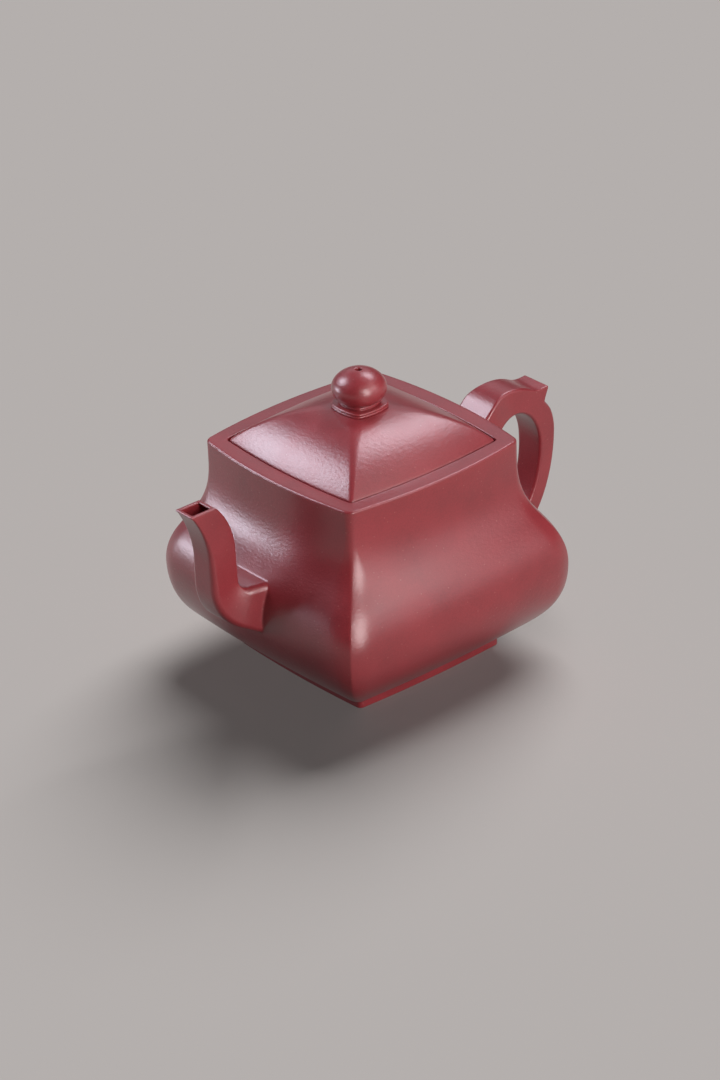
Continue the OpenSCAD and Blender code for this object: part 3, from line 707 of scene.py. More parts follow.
class TEAPOT_OT_walls(bpy.types.Operator):
    """Floor slab and the four wall slabs, mitred at the upright corners"""

    bl_idname = "teapot.walls"
    bl_label = "Floor and walls"
    sides = ("handle_wall", "right_wall", "spout_wall", "left_wall")

    def execute(self, context):
        form = BodyForm(context.scene.teapot_body)
        skin = body_skin(form, context.scene.teapot_mouth)
        share_normals(make_piece(context, "floor_slab", loft(floor_rings(form))), skin)
        for k, node in enumerate(self.sides):
            rings = []
            for z in wall_heights():
                outline = form.side(z) + form.inner_side(z)[::-1]
                rings.append([turned(p, k, z) for p in outline])
            wall = make_piece(context, node, loft(rings))
            if node == "spout_wall":
                self.cut_passage(context, wall)
            share_normals(wall, skin)
        skin.free()
        return {"FINISHED"}

    def cut_passage(self, context, wall):
        """Cuts the round passage to the spout through a wall."""
        body = context.scene.teapot_body
        root_z = body.belly_z + context.scene.teapot_spout.root_up
        bm = bmesh.new()
        bmesh.ops.create_cone(
            bm, cap_ends=True, segments=PASSAGE_CELLS, depth=body.belly_w / 2,
            radius1=body.passage_d / 2, radius2=body.passage_d / 2,
            matrix=Matrix.Translation((-body.belly_w / 2, 0, root_z)) @ Matrix.Rotation(QUARTER, 4, "Y"),
        )
        cutter = make_object(context.scene, "passage", bm)
        cut = wall.modifiers.new("passage", "BOOLEAN")
        cut.operation = "DIFFERENCE"
        cut.solver = "EXACT"
        cut.object = cutter
        evaluated = wall.evaluated_get(context.evaluated_depsgraph_get())
        wall.data = bpy.data.meshes.new_from_object(evaluated)
        wall.modifiers.clear()
        bpy.data.objects.remove(cutter)
        wall.data.set_sharp_from_angle(angle=HARD_EDGE)


def mouth_halves(context):
    """Half widths of the frame's opening, of the lid, of the mouth and of the flange."""
    mouth = context.scene.teapot_mouth
    lid = context.scene.teapot_lid
    opening = context.scene.teapot_body.neck_w / 2 - mouth.frame_band
    cover = opening - mouth.lid_gap
    hole = cover - mouth.seat_ledge
    return opening, cover, hole, hole - lid.flange_gap


class TEAPOT_OT_mouth(bpy.types.Operator):
    """Seat of the lid and the flat frame around it"""

    bl_idname = "teapot.mouth"
    bl_label = "Mouth"

    def execute(self, context):
        sizes = context.scene.teapot_body
        mouth = context.scene.teapot_mouth
        form = BodyForm(sizes)
        skin = body_skin(form, mouth)
        opening, cover, hole, _ = mouth_halves(context)
        r = mouth.inner_edge_r
        hole_bow = mouth.lid_bow * hole / cover

        low, high = level("lid_seat", 0), level("lid_seat", 1)
        rings = [form.ring(low), form.ring(high)]
        rings += [
            square_ring(high - r + up, hole + inset, hole_bow, sizes.inner_corner_r)
            for inset, up in reversed(edge_steps(r))
        ]
        rings.append(square_ring(low, hole, hole_bow, sizes.inner_corner_r))
        share_normals(make_piece(context, "lid_seat", loft(rings, closed=True)), skin)

        low, high = level("mouth_frame", 0), level("mouth_frame", 1)
        corner = context.scene.teapot_lid.corner_r + mouth.lid_gap
        rings = frame_edge(form, mouth)
        flat = sizes.neck_w / 2 - mouth.rim_edge_r
        for t in steps(EDGE_CELLS, 1):
            bow = mix(sizes.neck_bow, mouth.lid_bow, t)
            corner_r = mix(sizes.neck_corner_r, corner, t)
            rings.append(square_ring(high, mix(flat, opening + r, t), bow, corner_r))
        rings += [
            square_ring(high - r + up, opening + inset, mouth.lid_bow, corner)
            for inset, up in reversed(edge_steps(r)[:-1])
        ]
        rings.append(square_ring(low, opening, mouth.lid_bow, corner))
        share_normals(make_piece(context, "mouth_frame", loft(rings, closed=True)), skin)
        skin.free()
        return {"FINISHED"}


class TEAPOT_OT_strainer(bpy.types.Operator):
    """Pierced disc in the passage: the CAD shape in matt clay"""

    bl_idname = "teapot.strainer"
    bl_label = "Strainer"

    def execute(self, context):
        disc = frame["nodes"]["strainer"]
        disc.data.materials.clear()
        disc.data.materials.append(clay(context, slot_of("strainer")))
        return {"FINISHED"}


Station = namedtuple("Station", "front back half front_r back_r wall_t")


def section_strips(half_a, half_b, front_r, back_r):
    """Four strips round a rectangle with rounded corners, each from mid corner to mid corner.

    Every entry is a point and its outward direction, along the depth (a) and the width (b). The strips
    are the front, the right side, the back and the left side.
    """
    corners = [(-1, -1, front_r), (-1, 1, front_r), (1, 1, back_r), (1, -1, back_r)]
    strips = []
    for k in range(4):
        halves = []
        for end in (0, 1):
            side_a, side_b, r = corners[(k + end) % 4]
            middle = Vector((side_a * (half_a - r), side_b * (half_b - r)))
            # The strips go clockwise, and the first begins midway round the front's left corner
            start = (5 - 2 * k - end) * QUARTER / 2
            turns = [start - t * QUARTER / 2 for t in steps(CORNER_CELLS)]
            outs = [Vector((math.cos(a), math.sin(a))) for a in turns]
            halves.append([(middle + out * r, out) for out in outs])
        last, out = halves[0][-1]
        first = halves[1][0][0]
        flat = [(last.lerp(first, t), out) for t in steps(2 * EDGE_CELLS)[1:-1]]
        strips.append(halves[0] + flat + halves[1])
    return strips


def in_space(station, strip, way):
    """Points and directions of a strip at a station, on the side of the spout (-1) or the handle (1)."""
    centre = (station.front + station.back) / 2
    across = (station.back - station.front).normalized()
    placed = []
    for point, out in strip:
        at = centre + across * point.x
        lean = across * out.x
        placed.append((Vector((way * at.x, point.y, at.y)), Vector((way * lean.x, out.y, lean.y))))
    return placed


def blended(stations, cells):
    """Stations with the first stretch split into cells, so that lines can be cut at the wall."""
    a, b = stations[0], stations[1]
    split = [Station(*(mix(p, q, t) for p, q in zip(a, b))) for t in steps(cells)[:-1]]
    return split + stations[1:]


def crossing(line, gaps, gap):
    """Point and direction where a line first stands clear of the wall by a gap."""
    for i in range(len(line) - 1):
        if gaps[i] <= gap < gaps[i + 1]:
            t = (gap - gaps[i]) / (gaps[i + 1] - gaps[i])
            return line[i][0].lerp(line[i + 1][0], t), line[i][1].lerp(line[i + 1][1], t)
    raise ValueError("a line doesn't reach the wall")


def root_rows(lines, form, fillet_r, flare, last):
    """Rows from inside the wall to the station called last, with a hollow fillet on the wall."""
    gaps = [[form.gap(point) for point, _ in line] for line in lines]
    turns = steps(2 * EDGE_CELLS)
    rows = [(-fillet_r / 2, 1.0)]
    rows += [(fillet_r * (1 - math.cos(QUARTER * t)), 1 - math.sin(QUARTER * t)) for t in turns]
    made = []
    for gap, out in rows:
        row = []
        for line, gap_list in zip(lines, gaps):
            point, lean = crossing(line, gap_list, gap)
            point = point + lean * (out * fillet_r * flare)
            point.x -= math.copysign(form.gap(point) - gap, point.x)
            row.append(point)
        made.append(row)
    for t in steps(EDGE_CELLS, 1)[:-1]:
        row = []
        for line, gap_list in zip(lines, gaps):
            point, _ = crossing(line, gap_list, mix(fillet_r, gap_list[last], t))
            row.append(point)
        made.append(row)
    return made


def spout_stations(context):
    """Stations along the spout, from inside the wall to the mouth, and the first one of the bend."""
    s = context.scene.teapot_spout
    body = context.scene.teapot_body
    form = BodyForm(body)
    mouth_z = level("spout_front_slab", 1)
    root_z = body.belly_z + s.root_up
    low_z, high_z = root_z - s.root_h / 2, root_z + s.root_h / 2
    back_x = body.belly_w / 2 + s.stand
    front_x = back_x + s.riser_d
    lip_x = body.belly_w / 2 + s.reach
    root_x = form.half(low_z)
    inside_x = body.belly_w / 2 - 2 * body.wall_t
    bend_x = front_x - s.bend_r
    bend_z = low_z + (bend_x - root_x + s.bend_r * math.sin(s.under_a)) * math.tan(s.under_a)
    bend_z += s.bend_r * math.cos(s.under_a)

    def curl(x, lip, rise):
        """Centre, radius and end angle of an arc that starts upright and moves out to the lip."""
        r = ((lip - x) ** 2 + rise ** 2) / (2 * (lip - x))
        return (x + r, mouth_z - rise), r, math.pi - math.asin(rise / r)

    front_c, front_r, front_end = curl(front_x, lip_x, s.front_curl)
    back_c, back_r, back_end = curl(back_x, lip_x - s.mouth_d, s.back_curl)

    def station(front, back, to_riser, to_mouth):
        half = mix(mix(s.root_w, s.riser_w, to_riser), s.mouth_w, to_mouth) / 2
        front_r = mix(mix(s.root_edge_r, s.riser_edge_r, to_riser), s.edge_r, ease(to_mouth))
        back_r = mix(s.root_edge_r, s.edge_r, ease(2 * to_riser - 1))
        wall_t = mix(s.root_t, s.mouth_t, (to_riser + to_mouth) / 2)
        return Station(front, back, half, front_r, back_r, wall_t)

    inside_z = low_z - (root_x - inside_x) * math.tan(s.under_a)
    stations = [station(Vector((inside_x, inside_z)), Vector((inside_x, high_z)), 0, 0)]
    heel = (back_x - s.heel_r, high_z + s.heel_r)
    for t in steps(BEND_CELLS):
        stations.append(station(
            arc((bend_x, bend_z), s.bend_r, s.under_a - QUARTER, 0, t),
            arc(heel, s.heel_r, -QUARTER, 0, t),
            1 - (1 - mix(s.taper_start, 1, t)) ** 2, 0,
        ))
    for t in steps(BEND_CELLS):
        stations.append(station(
            arc(front_c, front_r, math.pi, front_end, t),
            arc(back_c, back_r, math.pi, back_end, t),
            1, mix(s.taper_start, 1, t),
        ))
    return blended(stations, BEND_CELLS), BEND_CELLS


class TEAPOT_OT_spout(bpy.types.Operator):
    """Four slabs of the square spout, mitred at its edges"""

    bl_idname = "teapot.spout"
    bl_label = "Spout"
    sides = ("spout_front_slab", "spout_right_cheek", "spout_back_slab", "spout_left_cheek")

    def execute(self, context):
        s = context.scene.teapot_spout
        form = BodyForm(context.scene.teapot_body)
        stations, bend = spout_stations(context)
        outer, inner = [], []
        for k in range(4):
            outer.append(self.rows(stations, k, 0, form, s, bend))
            inner.append(self.rows(stations, k, 1, form, s, bend))
        count = len(outer[0])
        whole = loft([[p for k in range(4) for p in outer[k][i][:-1]] for i in range(count)])
        for k, node in enumerate(self.sides):
            rings = [outer[k][i] + inner[k][i][::-1] for i in range(count)]
            share_normals(make_piece(context, node, loft(rings)), whole)
        whole.free()
        return {"FINISHED"}

    def rows(self, stations, k, inside, form, s, bend):
        """Rows of one slab's outer or inner face, from inside the wall to the rounded lip."""
        strips = []
        for station in stations:
            depth = (station.back - station.front).length / 2
            inset = station.wall_t * inside
            radii = (s.channel_r, s.channel_r) if inside else (station.front_r, station.back_r)
            strip = section_strips(depth - inset, station.half - inset, *radii)[k]
            strips.append(in_space(station, strip, -1))
        lines = list(zip(*strips))
        made = root_rows(lines, form, s.fillet_r, 0 if inside else 1, bend)
        made += [[line[i][0] for line in lines] for i in range(bend, len(stations) - 1)]
        into_clay = 1 if inside else -1
        for inset, up in edge_steps(s.lip_r):
            made.append([
                line[-1][0] + line[-1][1] * (into_clay * inset) + Vector((0, 0, up - s.lip_r))
                for line in lines
            ])
        return made


def handle_corner(context):
    """Centre of the handle's arch, in the plane of the handle."""
    s = context.scene.teapot_handle
    return Vector((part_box("handle")[1].x - s.arch_run, level("handle", 1) - s.arch_fall))


def handle_stations(context):
    """Stations along the handle, from inside the upper wall round to inside the lower wall."""
    s = context.scene.teapot_handle
    body = context.scene.teapot_body
    form = BodyForm(body)
    inside_x = body.neck_w / 2 - body.wall_t
    tail_x = form.half(s.tail_z) + s.tail_run
    arch = handle_corner(context)
    hole = Vector((
        arch.x + s.arch_run - s.bar_t - s.hole_run,
        arch.y + s.arch_fall - s.arch_t - s.hole_fall,
    ))

    def edge(centre, run, fall, low_z, dip):
        """Points of one edge: rise, shoulder, arch with a dip, sweep and tail."""
        middle = Vector((centre.x, centre.y + fall - s.shoulder_r))
        start_a = QUARTER + s.rise_a
        shoulder = [arc(middle, s.shoulder_r, start_a, QUARTER, t) for t in steps(BEND_CELLS)]
        first = shoulder[0]
        points = [Vector((inside_x, first.y - (first.x - inside_x) * math.tan(s.rise_a)))] + shoulder
        for t in steps(BEND_CELLS, 1):
            a = mix(QUARTER, 0, t)
            down = dip * math.exp(-((a - s.thumb_end_a) / s.thumb_dip_a) ** 2)
            points.append(centre + Vector(((run - down) * math.cos(a), (fall - down) * math.sin(a))))
        out, drop = centre.x + run - tail_x, centre.y - low_z
        for t in steps(BEND_CELLS, 1):
            a = mix(0, -QUARTER, t)
            points.append(Vector((tail_x + out * math.cos(a), centre.y + drop * math.sin(a))))
        return points + [Vector((inside_x, low_z))]

    widths = [s.root_w]
    widths += [mix(s.root_w, s.arch_w, ease(t)) for t in steps(BEND_CELLS)]
    widths += [s.arch_w] * BEND_CELLS
    widths += [mix(s.arch_w, s.tail_w, math.sin(QUARTER * t)) for t in steps(BEND_CELLS, 1)]
    widths.append(s.tail_w)
    outer = edge(arch, s.arch_run, s.arch_fall, s.tail_z - s.tail_t / 2, s.thumb_dip)
    inner = edge(hole, s.hole_run, s.hole_fall, s.tail_z + s.tail_t / 2, 0)
    stations = [Station(o, i, w / 2, s.edge_r, s.edge_r, 0) for o, i, w in zip(outer, inner, widths)]
    stations = blended(stations, BEND_CELLS)
    return blended(stations[::-1], BEND_CELLS)[::-1]


class TEAPOT_OT_handle(bpy.types.Operator):
    """Bar of the handle, from the neck over the arch to the lower belly"""

    bl_idname = "teapot.handle"
    bl_label = "Handle"

    def execute(self, context):
        s = context.scene.teapot_handle
        form = BodyForm(context.scene.teapot_body)
        strips = []
        for station in handle_stations(context):
            depth = (station.back - station.front).length / 2
            sides = section_strips(depth, station.half, station.front_r, station.back_r)
            strips.append(in_space(station, [p for side in sides for p in side[:-1]], 1))
        lines = list(zip(*strips))
        back = [line[::-1] for line in lines]
        rows = root_rows(lines, form, s.fillet_r, 1, BEND_CELLS)
        rows += [[line[i][0] for line in lines] for i in range(BEND_CELLS, len(strips) - BEND_CELLS)]
        rows += root_rows(back, form, s.fillet_r, 1, BEND_CELLS)[::-1]
        make_piece(context, "handle", loft(rows))
        return {"FINISHED"}


class TEAPOT_OT_thumb_rest(bpy.types.Operator):
    """Small upturned lip where the arch of the handle ends"""

    bl_idname = "teapot.thumb_rest"
    bl_label = "Thumb rest"

    def execute(self, context):
        s = context.scene.teapot_handle
        centre = handle_corner(context)

        def on_arch(first_a, last_a, t, up):
            """Point above the arch, at share t of the way between two angles."""
            a = mix(first_a, last_a, t)
            return centre + Vector(((s.arch_run + up) * math.cos(a), (s.arch_fall + up) * math.sin(a)))

        # The rest begins just under the arch's skin, ends in its notch and is rooted below both
        skin, notch, root_up = -s.edge_r / 4, -2 * s.thumb_dip, -2 * s.edge_r
        tip = on_arch(s.thumb_tip_a, s.thumb_tip_a, 0, s.thumb_h)
        rise = [
            on_arch(s.thumb_start_a, s.thumb_tip_a, t, mix(skin, s.thumb_h, t ** THUMB_CURL))
            for t in steps(2 * BEND_CELLS)
        ]
        drop = [
            on_arch(s.thumb_tip_a, s.thumb_end_a, t, mix(notch, s.thumb_h, (1 - t) ** THUMB_FALL))
            for t in steps(BEND_CELLS)
        ]
        rise = [p for p in rise if (p - tip).length > s.thumb_tip_r]
        drop = [p for p in drop if (p - tip).length > s.thumb_tip_r]
        shares = steps(2 * EDGE_CELLS)[1:-1]
        turn = [rise[-1].lerp(tip, t).lerp(tip.lerp(drop[0], t), t) for t in shares]
        root = [on_arch(s.thumb_end_a, s.thumb_start_a, t, root_up) for t in steps(BEND_CELLS)]
        outline = rise + turn + drop + root
        # A hair narrower than the bar, so that their sides don't share a plane
        half = s.arch_w / 2 - 10 * TOUCH
        bm = bmesh.new()
        verts = [bm.verts.new((p.x, -half, p.y)) for p in outline]
        face = bmesh.ops.contextual_create(bm, geom=verts)["faces"][0]
        made = bmesh.ops.extrude_face_region(bm, geom=[face])["geom"]
        far = [g for g in made if isinstance(g, bmesh.types.BMVert)]
        bmesh.ops.translate(bm, verts=far, vec=(0, 2 * half, 0))
        # The side edges that stand out of the bar are rounded, and those of the root aren't
        root_r = s.arch_run - 1.5 * s.edge_r
        rims = [
            e for e in bm.edges
            if abs(e.verts[0].co.y - e.verts[1].co.y) < TOUCH
            and all(math.hypot(v.co.x - centre.x, v.co.z - centre.y) > root_r for v in e.verts)
        ]
        bmesh.ops.bevel(
            bm, geom=rims, offset=s.thumb_edge_r, offset_type="OFFSET", affect="EDGES",
            segments=EDGE_CELLS, profile=0.5, material=-1, clamp_overlap=True,
        )
        bmesh.ops.recalc_face_normals(bm, faces=bm.faces)
        make_piece(context, "thumb_rest", bm)
        return {"FINISHED"}


class TEAPOT_OT_lid(bpy.types.Operator):
    """Arched slab of the lid with its four hips, and the flange below it"""

    bl_idname = "teapot.lid"
    bl_label = "Lid"

    def execute(self, context):
        body = context.scene.teapot_body
        lid = context.scene.teapot_lid
        knob = context.scene.teapot_knob
        _, cover, hole, flange_out = mouth_halves(context)
        flange_in = flange_out - lid.flange_t
        low, high = level("lid_cover", 0), level("lid_cover", 1)
        edge_z = level("mouth_frame", 1) - lid.edge_sink
        pad = knob.base_w / 2 - knob.line
        lid_bow = context.scene.teapot_mouth.lid_bow
        hole_bow = lid_bow * hole / cover

        run, rise = cover - pad, high - edge_z
        chord = math.hypot(run, rise)
        arc_r = ((chord / 2) ** 2 + lid.arch ** 2) / (2 * lid.arch)
        slope = math.atan2(rise, run)
        half_a = math.asin(chord / 2 / arc_r)
        centre = Vector((
            (cover + pad) / 2 - (arc_r - lid.arch) * math.sin(slope),
            edge_z + rise / 2 - (arc_r - lid.arch) * math.cos(slope),
        ))

        def on_arc(t, depth=0.0):
            """Half width and height on the lid's slope, from its edge to its pad."""
            return arc(centre, arc_r - depth, QUARTER - slope - half_a, QUARTER - slope + half_a, t)

        def slope_ring(p, t):
            return square_ring(p.y, p.x, lid_bow * p.x / cover, mix(lid.corner_r, lid.hip_r, ease(t)))

        start = lid.edge_r / (2 * arc_r * half_a)
        below = Vector((cover, edge_z - lid.edge_r))
        corner, above = Vector((cover, edge_z)), on_arc(start)
        edge = [below.lerp(corner, t).lerp(corner.lerp(above, t), t) for t in steps(EDGE_CELLS)]
        rows = 2 * BEND_CELLS
        vent = lid.vent_d / 2
        pad_ring = slope_ring(on_arc(1), 1)
        vault = [(on_arc(t, lid.slab_t), t) for t in steps(rows)]
        vault = [(p, t) for p, t in vault if p.x < flange_in and p.y > low]

        rings = [square_ring(low, flange_in, hole_bow, body.inner_corner_r)]
        rings += [square_ring(low, cover, lid_bow, lid.corner_r)]
        rings += [slope_ring(p, 0) for p in edge[:-1]]
        rings += [slope_ring(on_arc(mix(start, 1, t)), mix(start, 1, t)) for t in steps(rows)]
        rings += [between(pad_ring, round_ring(high, vent), t) for t in steps(EDGE_CELLS, 1)]
        roof = slope_ring(*vault[-1])
        rings += [between(round_ring(vault[-1][0].y, vent), roof, t) for t in steps(EDGE_CELLS)[:-1]]
        rings += [slope_ring(p, t) for p, t in reversed(vault)]
        make_piece(context, "lid_cover", loft(rings, closed=True))

        foot, r = level("lid_flange", 0), lid.flange_edge_r
        profile = [(low, flange_out)]
        profile += [(foot + r - up, flange_out - inset) for inset, up in edge_steps(r)]
        profile += [(foot + r - up, flange_in + inset) for inset, up in reversed(edge_steps(r))]
        profile.append((low, flange_in))
        rings = [square_ring(z, half, hole_bow, body.inner_corner_r) for z, half in profile]
        make_piece(context, "lid_flange", loft(rings, closed=True))
        return {"FINISHED"}


class TEAPOT_OT_knob(bpy.types.Operator):
    """Knob with its vent hole, on a collar and a base of two thin rolls"""

    bl_idname = "teapot.knob"
    bl_label = "Knob"

    def execute(self, context):
        knob = context.scene.teapot_knob
        lid = context.scene.teapot_lid
        vent = lid.vent_d / 2

        def roll(z, h, half):
            """Rings over a thin square roll with a half-round edge."""
            turns = [mix(-QUARTER, QUARTER, t) for t in steps(2 * EDGE_CELLS)]
            return [
                square_ring(z + h / 2 * (1 + math.sin(a)), half - h / 2 * (1 - math.cos(a)),
                            knob.bow, knob.corner_r)
                for a in turns
            ]

        low, high = level("knob_base", 0), level("knob_base", 1)
        h = (high - low) / 2
        rings = roll(low, h, knob.base_w / 2) + roll(low + h, h, knob.base_w / 2)[1:]
        rings += [round_ring(high, vent), round_ring(low, vent)]
        make_piece(context, "knob_base", loft(rings, closed=True))

        low, high = level("knob_collar", 0), level("knob_collar", 1)
        h = high - low
        half = knob.collar_w / 2
        # A plain neck takes the lowest third of the collar, and a roll the rest
        rings = [square_ring(low, half - knob.line, knob.bow, knob.corner_r)]
        rings += roll(low + h / 3, h * 2 / 3, half)
        rings += [round_ring(high, vent), round_ring(low, vent)]
        make_piece(context, "knob_collar", loft(rings, closed=True))

        low = level("knob", 0)
        middle = low + knob.ball_up
        low_a = -math.asin(2 * knob.ball_up / knob.ball_h)
        top_a = math.acos(2 * (vent + lid.vent_edge_r) / knob.ball_w)

        def ball(a):
            half = knob.ball_w / 2 * math.cos(a)
            z = middle + knob.ball_h / 2 * math.sin(a)
            square = square_ring(z, half, knob.ball_bow * math.cos(a), half * knob.ball_round)
            return between(square, round_ring(z, half), ease((a - top_a / 2) / (top_a / 2)))

        rings = [ball(mix(low_a, top_a, t)) for t in steps(3 * BEND_CELLS)]
        top = rings[-1][0].z
        rings += [
            round_ring(top - inset, vent + lid.vent_edge_r - up)
            for inset, up in edge_steps(lid.vent_edge_r)[1:]
        ]
        rings.append(round_ring(low, vent))
        make_piece(context, "knob", loft(rings, closed=True))
        return {"FINISHED"}


# Soft panels round the pot, at one distance in metres: place, width and height in degrees as the pot sees
# them, brightness of their middle and colour
LAMP_DISTANCE = 0.95
Lamp = namedtuple("Lamp", "name azimuth elevation wide high glow hex_colour")
LAMPS = (
    Lamp("key", -155, 40, 34, 34, 11, "#f2f0ff"),
    Lamp("low_key", -141, 2, 26, 18, 14, "#f2f0ff"),
    Lamp("front", -6, 19, 28, 66, 9.5, "#fff2f2"),
    Lamp("front_high", 28, 34, 30, 30, 2.6, "#fff2f2"),
    Lamp("fill", 32, 16, 50, 44, 1.5, "#fff0f4"),
    Lamp("overhead", 105, 54, 36, 22, 9, "#fff4ff"),
    Lamp("sky", 45, 54, 44, 28, 1.2, "#fff6f6"),
    Lamp("rim", 146, 30, 50, 34, 0.6, "#fff6ff"),
)
# Middle of a panel in its own coordinates, and where it begins to fade and ends, measured from there
PANEL_MIDDLE = (0.5, 0.5, 0.0)
PANEL_FADE = (0.25, 0.5)
# Width of the camera's frame in mm and radius of the floor in metres
FRAME_WIDTH = 36
FLOOR_RADIUS = 30


class TEAPOT_OT_stage(bpy.types.Operator):
    """Camera at the photograph's angle, pale floor and soft studio light"""

    bl_idname = "teapot.stage"
    bl_label = "Stage"

    def execute(self, context):
        scene = context.scene
        scene.view_settings.view_transform = "Standard"
        self.set_camera(scene)
        floor = self.lay_floor(scene)
        middle = Vector((0, 0, (CAD_BOX[0].z + CAD_BOX[1].z) / 2))
        for lamp in LAMPS:
            self.receivers(self.hang(scene, lamp, middle), floor, "EXCLUDE")
        self.receivers(self.light_floor(scene), floor, "INCLUDE")
        self.fill_world(scene)
        return {"FINISHED"}

    def set_camera(self, scene):
        """Sets the camera that sees the pot as the photograph does."""
        looks = scene.teapot_stage
        a, e, roll = looks.azimuth, looks.elevation, looks.roll
        back = away(a, e)
        right = Vector((math.cos(a), math.sin(a), 0))
        up = back.cross(right)
        turned_right = right * math.cos(roll) + up * math.sin(roll)
        turned_up = up * math.cos(roll) - right * math.sin(roll)
        data = bpy.data.cameras.new("camera")
        data.lens = looks.lens
        data.sensor_width = FRAME_WIDTH
        camera = bpy.data.objects.new("camera", data)
        axes = Matrix((turned_right, turned_up, back)).transposed().to_4x4()
        camera.matrix_world = Matrix.Translation(Vector(looks.target) + back * looks.distance) @ axes
        scene.collection.objects.link(camera)
        scene.camera = camera

    def lay_floor(self, scene):
        """Lays a floor of matt paper: one even pale tone that takes the pot's soft shadow."""
        looks = scene.teapot_stage
        bm = bmesh.new()
        bmesh.ops.create_circle(bm, cap_ends=True, segments=FLOOR_CELLS, radius=FLOOR_RADIUS)
        floor = make_object(scene, "floor", bm)
        material = bpy.data.materials.new("matt_paper")
        material.use_nodes = True
        tree = material.node_tree
        tree.nodes.clear()
        rays = add(tree, "ShaderNodeLightPath")
        seen = add(tree, "ShaderNodeMath", {"operation": "MAXIMUM"}, {
            0: rays.outputs["Is Camera Ray"], 1: rays.outputs["Is Glossy Ray"],
        })
        shown = add(tree, "ShaderNodeMath", {"operation": "MAXIMUM"}, {
            0: seen.outputs[0], 1: rays.outputs["Is Transmission Ray"],
        })
        colour = add(tree, "ShaderNodeMix", {"data_type": "RGBA"}, {
            "Factor": shown.outputs[0], MIX_A: (*looks.floor_bounce, 1), MIX_B: (*looks.floor, 1),
        }).outputs[MIX_OUT]
        paper = add(tree, "ShaderNodeBsdfDiffuse", inputs={"Color": colour})
        even_share = add(tree, "ShaderNodeMath", {"operation": "MULTIPLY"}, {
            0: shown.outputs[0], 1: looks.floor_even,
        })
        even = add(tree, "ShaderNodeEmission", inputs={
            "Color": (*looks.floor, 1), "Strength": even_share.outputs[0],
        })
        both = add(tree, "ShaderNodeAddShader", inputs={
            0: paper.outputs["BSDF"], 1: even.outputs["Emission"],
        })
        add(tree, "ShaderNodeOutputMaterial", inputs={"Surface": both.outputs["Shader"]})
        floor.data.materials.append(material)
        return floor

    def hang(self, scene, lamp, middle):
        """Hangs a soft panel so that it faces the pot."""
        data = bpy.data.lights.new(lamp.name, "AREA")
        data.shape = "RECTANGLE"
        data.size = 2 * LAMP_DISTANCE * math.tan(math.radians(lamp.wide / 2))
        data.size_y = 2 * LAMP_DISTANCE * math.tan(math.radians(lamp.high / 2))
        data.energy = math.pi * data.size * data.size_y * lamp.glow
        data.color = linear(lamp.hex_colour)
        data.use_nodes = True
        tree = data.node_tree
        tree.nodes.clear()
        place = add(tree, "ShaderNodeNewGeometry").outputs["Parametric"]
        off = add(tree, "ShaderNodeVectorMath", {"operation": "DISTANCE"}, {0: place, 1: PANEL_MIDDLE})
        soft = add(tree, "ShaderNodeMapRange", {"interpolation_type": "SMOOTHSTEP"}, {
            "Value": off.outputs["Value"], "From Min": PANEL_FADE[0], "From Max": PANEL_FADE[1],
            "To Min": 1.0, "To Max": 0.0,
        })
        glow = add(tree, "ShaderNodeEmission", inputs={"Strength": soft.outputs["Result"]})
        add(tree, "ShaderNodeOutputLight", inputs={"Surface": glow.outputs["Emission"]})
        light = bpy.data.objects.new(lamp.name, data)
        towards = away(math.radians(lamp.azimuth), math.radians(lamp.elevation))
        turn = towards.to_track_quat("Z", "Y").to_matrix().to_4x4()
        light.matrix_world = Matrix.Translation(middle + towards * LAMP_DISTANCE) @ turn
        light.visible_camera = False
        scene.collection.objects.link(light)
        return light

    def light_floor(self, scene):
        """Hangs a wide soft lamp for the floor alone, so that it is even as far as it is seen."""
        looks = scene.teapot_stage
        towards = away(looks.floor_azimuth, looks.floor_elevation)
        data = bpy.data.lights.new("floor_light", "SUN")
        data.angle = looks.shadow_soft
        data.energy = math.pi * (1 - looks.floor_even) / towards.z
        light = bpy.data.objects.new("floor_light", data)
        light.matrix_world = towards.to_track_quat("Z", "Y").to_matrix().to_4x4()
        scene.collection.objects.link(light)
        return light

    def receivers(self, light, floor, state):
        """Lets a lamp light nothing but the floor, or all but the floor."""
        listed = bpy.data.collections.new(light.name + "_lights")
        listed.objects.link(floor)
        listed.collection_objects[0].light_linking.link_state = state
        light.light_linking.receiver_collection = listed

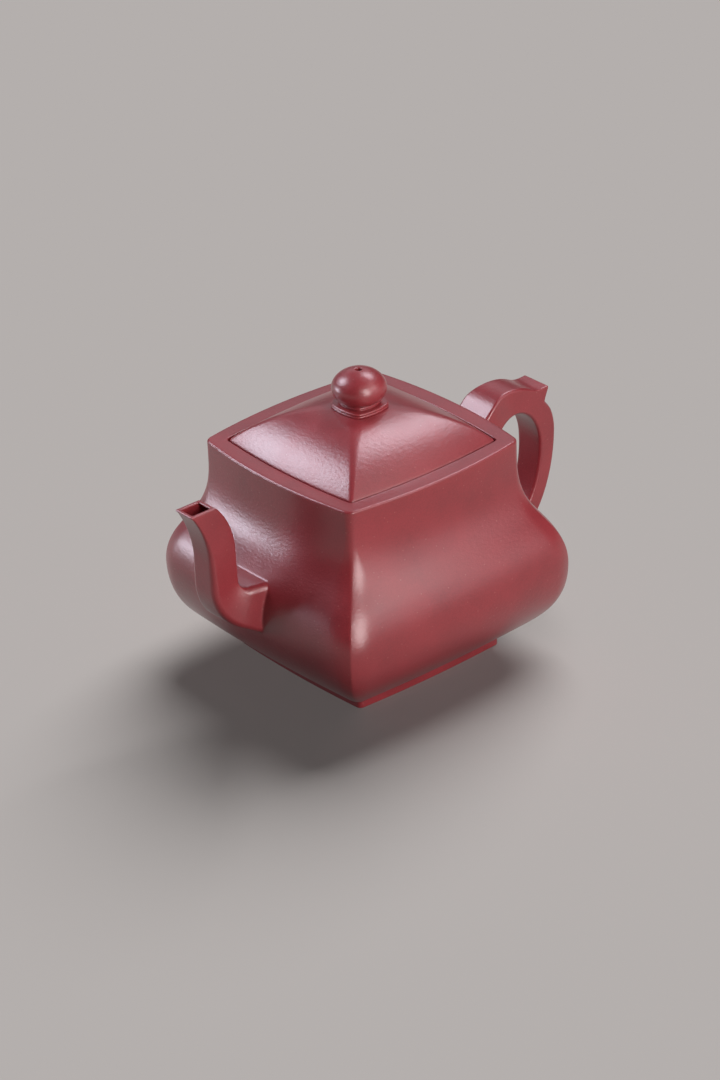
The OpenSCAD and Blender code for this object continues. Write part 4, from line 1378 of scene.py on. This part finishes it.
    def fill_world(self, scene):
        """Low even light from all round."""
        world = bpy.data.worlds.new("studio")
        world.use_nodes = True
        tree = world.node_tree
        tree.nodes.clear()
        dim = add(tree, "ShaderNodeBackground", inputs={
            "Color": (*scene.teapot_stage.floor, 1), "Strength": scene.teapot_stage.ambient,
        })
        add(tree, "ShaderNodeOutputWorld", inputs={"Surface": dim.outputs["Background"]})
        scene.world = world


BUILD_STEPS = (
    TEAPOT_OT_foot, TEAPOT_OT_walls, TEAPOT_OT_mouth, TEAPOT_OT_strainer, TEAPOT_OT_spout,
    TEAPOT_OT_handle, TEAPOT_OT_thumb_rest, TEAPOT_OT_lid, TEAPOT_OT_knob, TEAPOT_OT_stage,
)
GROUPS = {
    "teapot_body": BodySizes, "teapot_mouth": MouthSizes, "teapot_lid": LidSizes,
    "teapot_knob": KnobSizes, "teapot_spout": SpoutSizes, "teapot_handle": HandleSizes,
    "teapot_clay": ClayLooks, "teapot_stage": StageLooks,
}


class TEAPOT_PT_panel(bpy.types.Panel):
    """Sizes, looks and building steps of the teapot"""

    bl_idname = "TEAPOT_PT_panel"
    bl_label = "Teapot"
    bl_space_type = "VIEW_3D"
    bl_region_type = "UI"
    bl_category = "Teapot"

    def draw(self, context):
        for name in GROUPS:
            group = getattr(context.scene, name)
            box = self.layout.box()
            for field in group.__annotations__:
                box.prop(group, field)
        for step in BUILD_STEPS:
            self.layout.operator(step.bl_idname)


CLASSES = (*GROUPS.values(), *BUILD_STEPS, TEAPOT_PT_panel)


def register():
    for cls in CLASSES:
        bpy.utils.register_class(cls)
    for name, group in GROUPS.items():
        setattr(bpy.types.Scene, name, PointerProperty(type=group))


def unregister():
    for name in GROUPS:
        delattr(bpy.types.Scene, name)
    for cls in reversed(CLASSES):
        bpy.utils.unregister_class(cls)


def main():
    register()
    bpy.ops.teapot.foot()
    bpy.ops.teapot.walls()
    bpy.ops.teapot.mouth()
    bpy.ops.teapot.strainer()
    bpy.ops.teapot.spout()
    bpy.ops.teapot.handle()
    bpy.ops.teapot.thumb_rest()
    bpy.ops.teapot.lid()
    bpy.ops.teapot.knob()
    bpy.ops.teapot.stage()


if __name__ == "__main__":
    main()
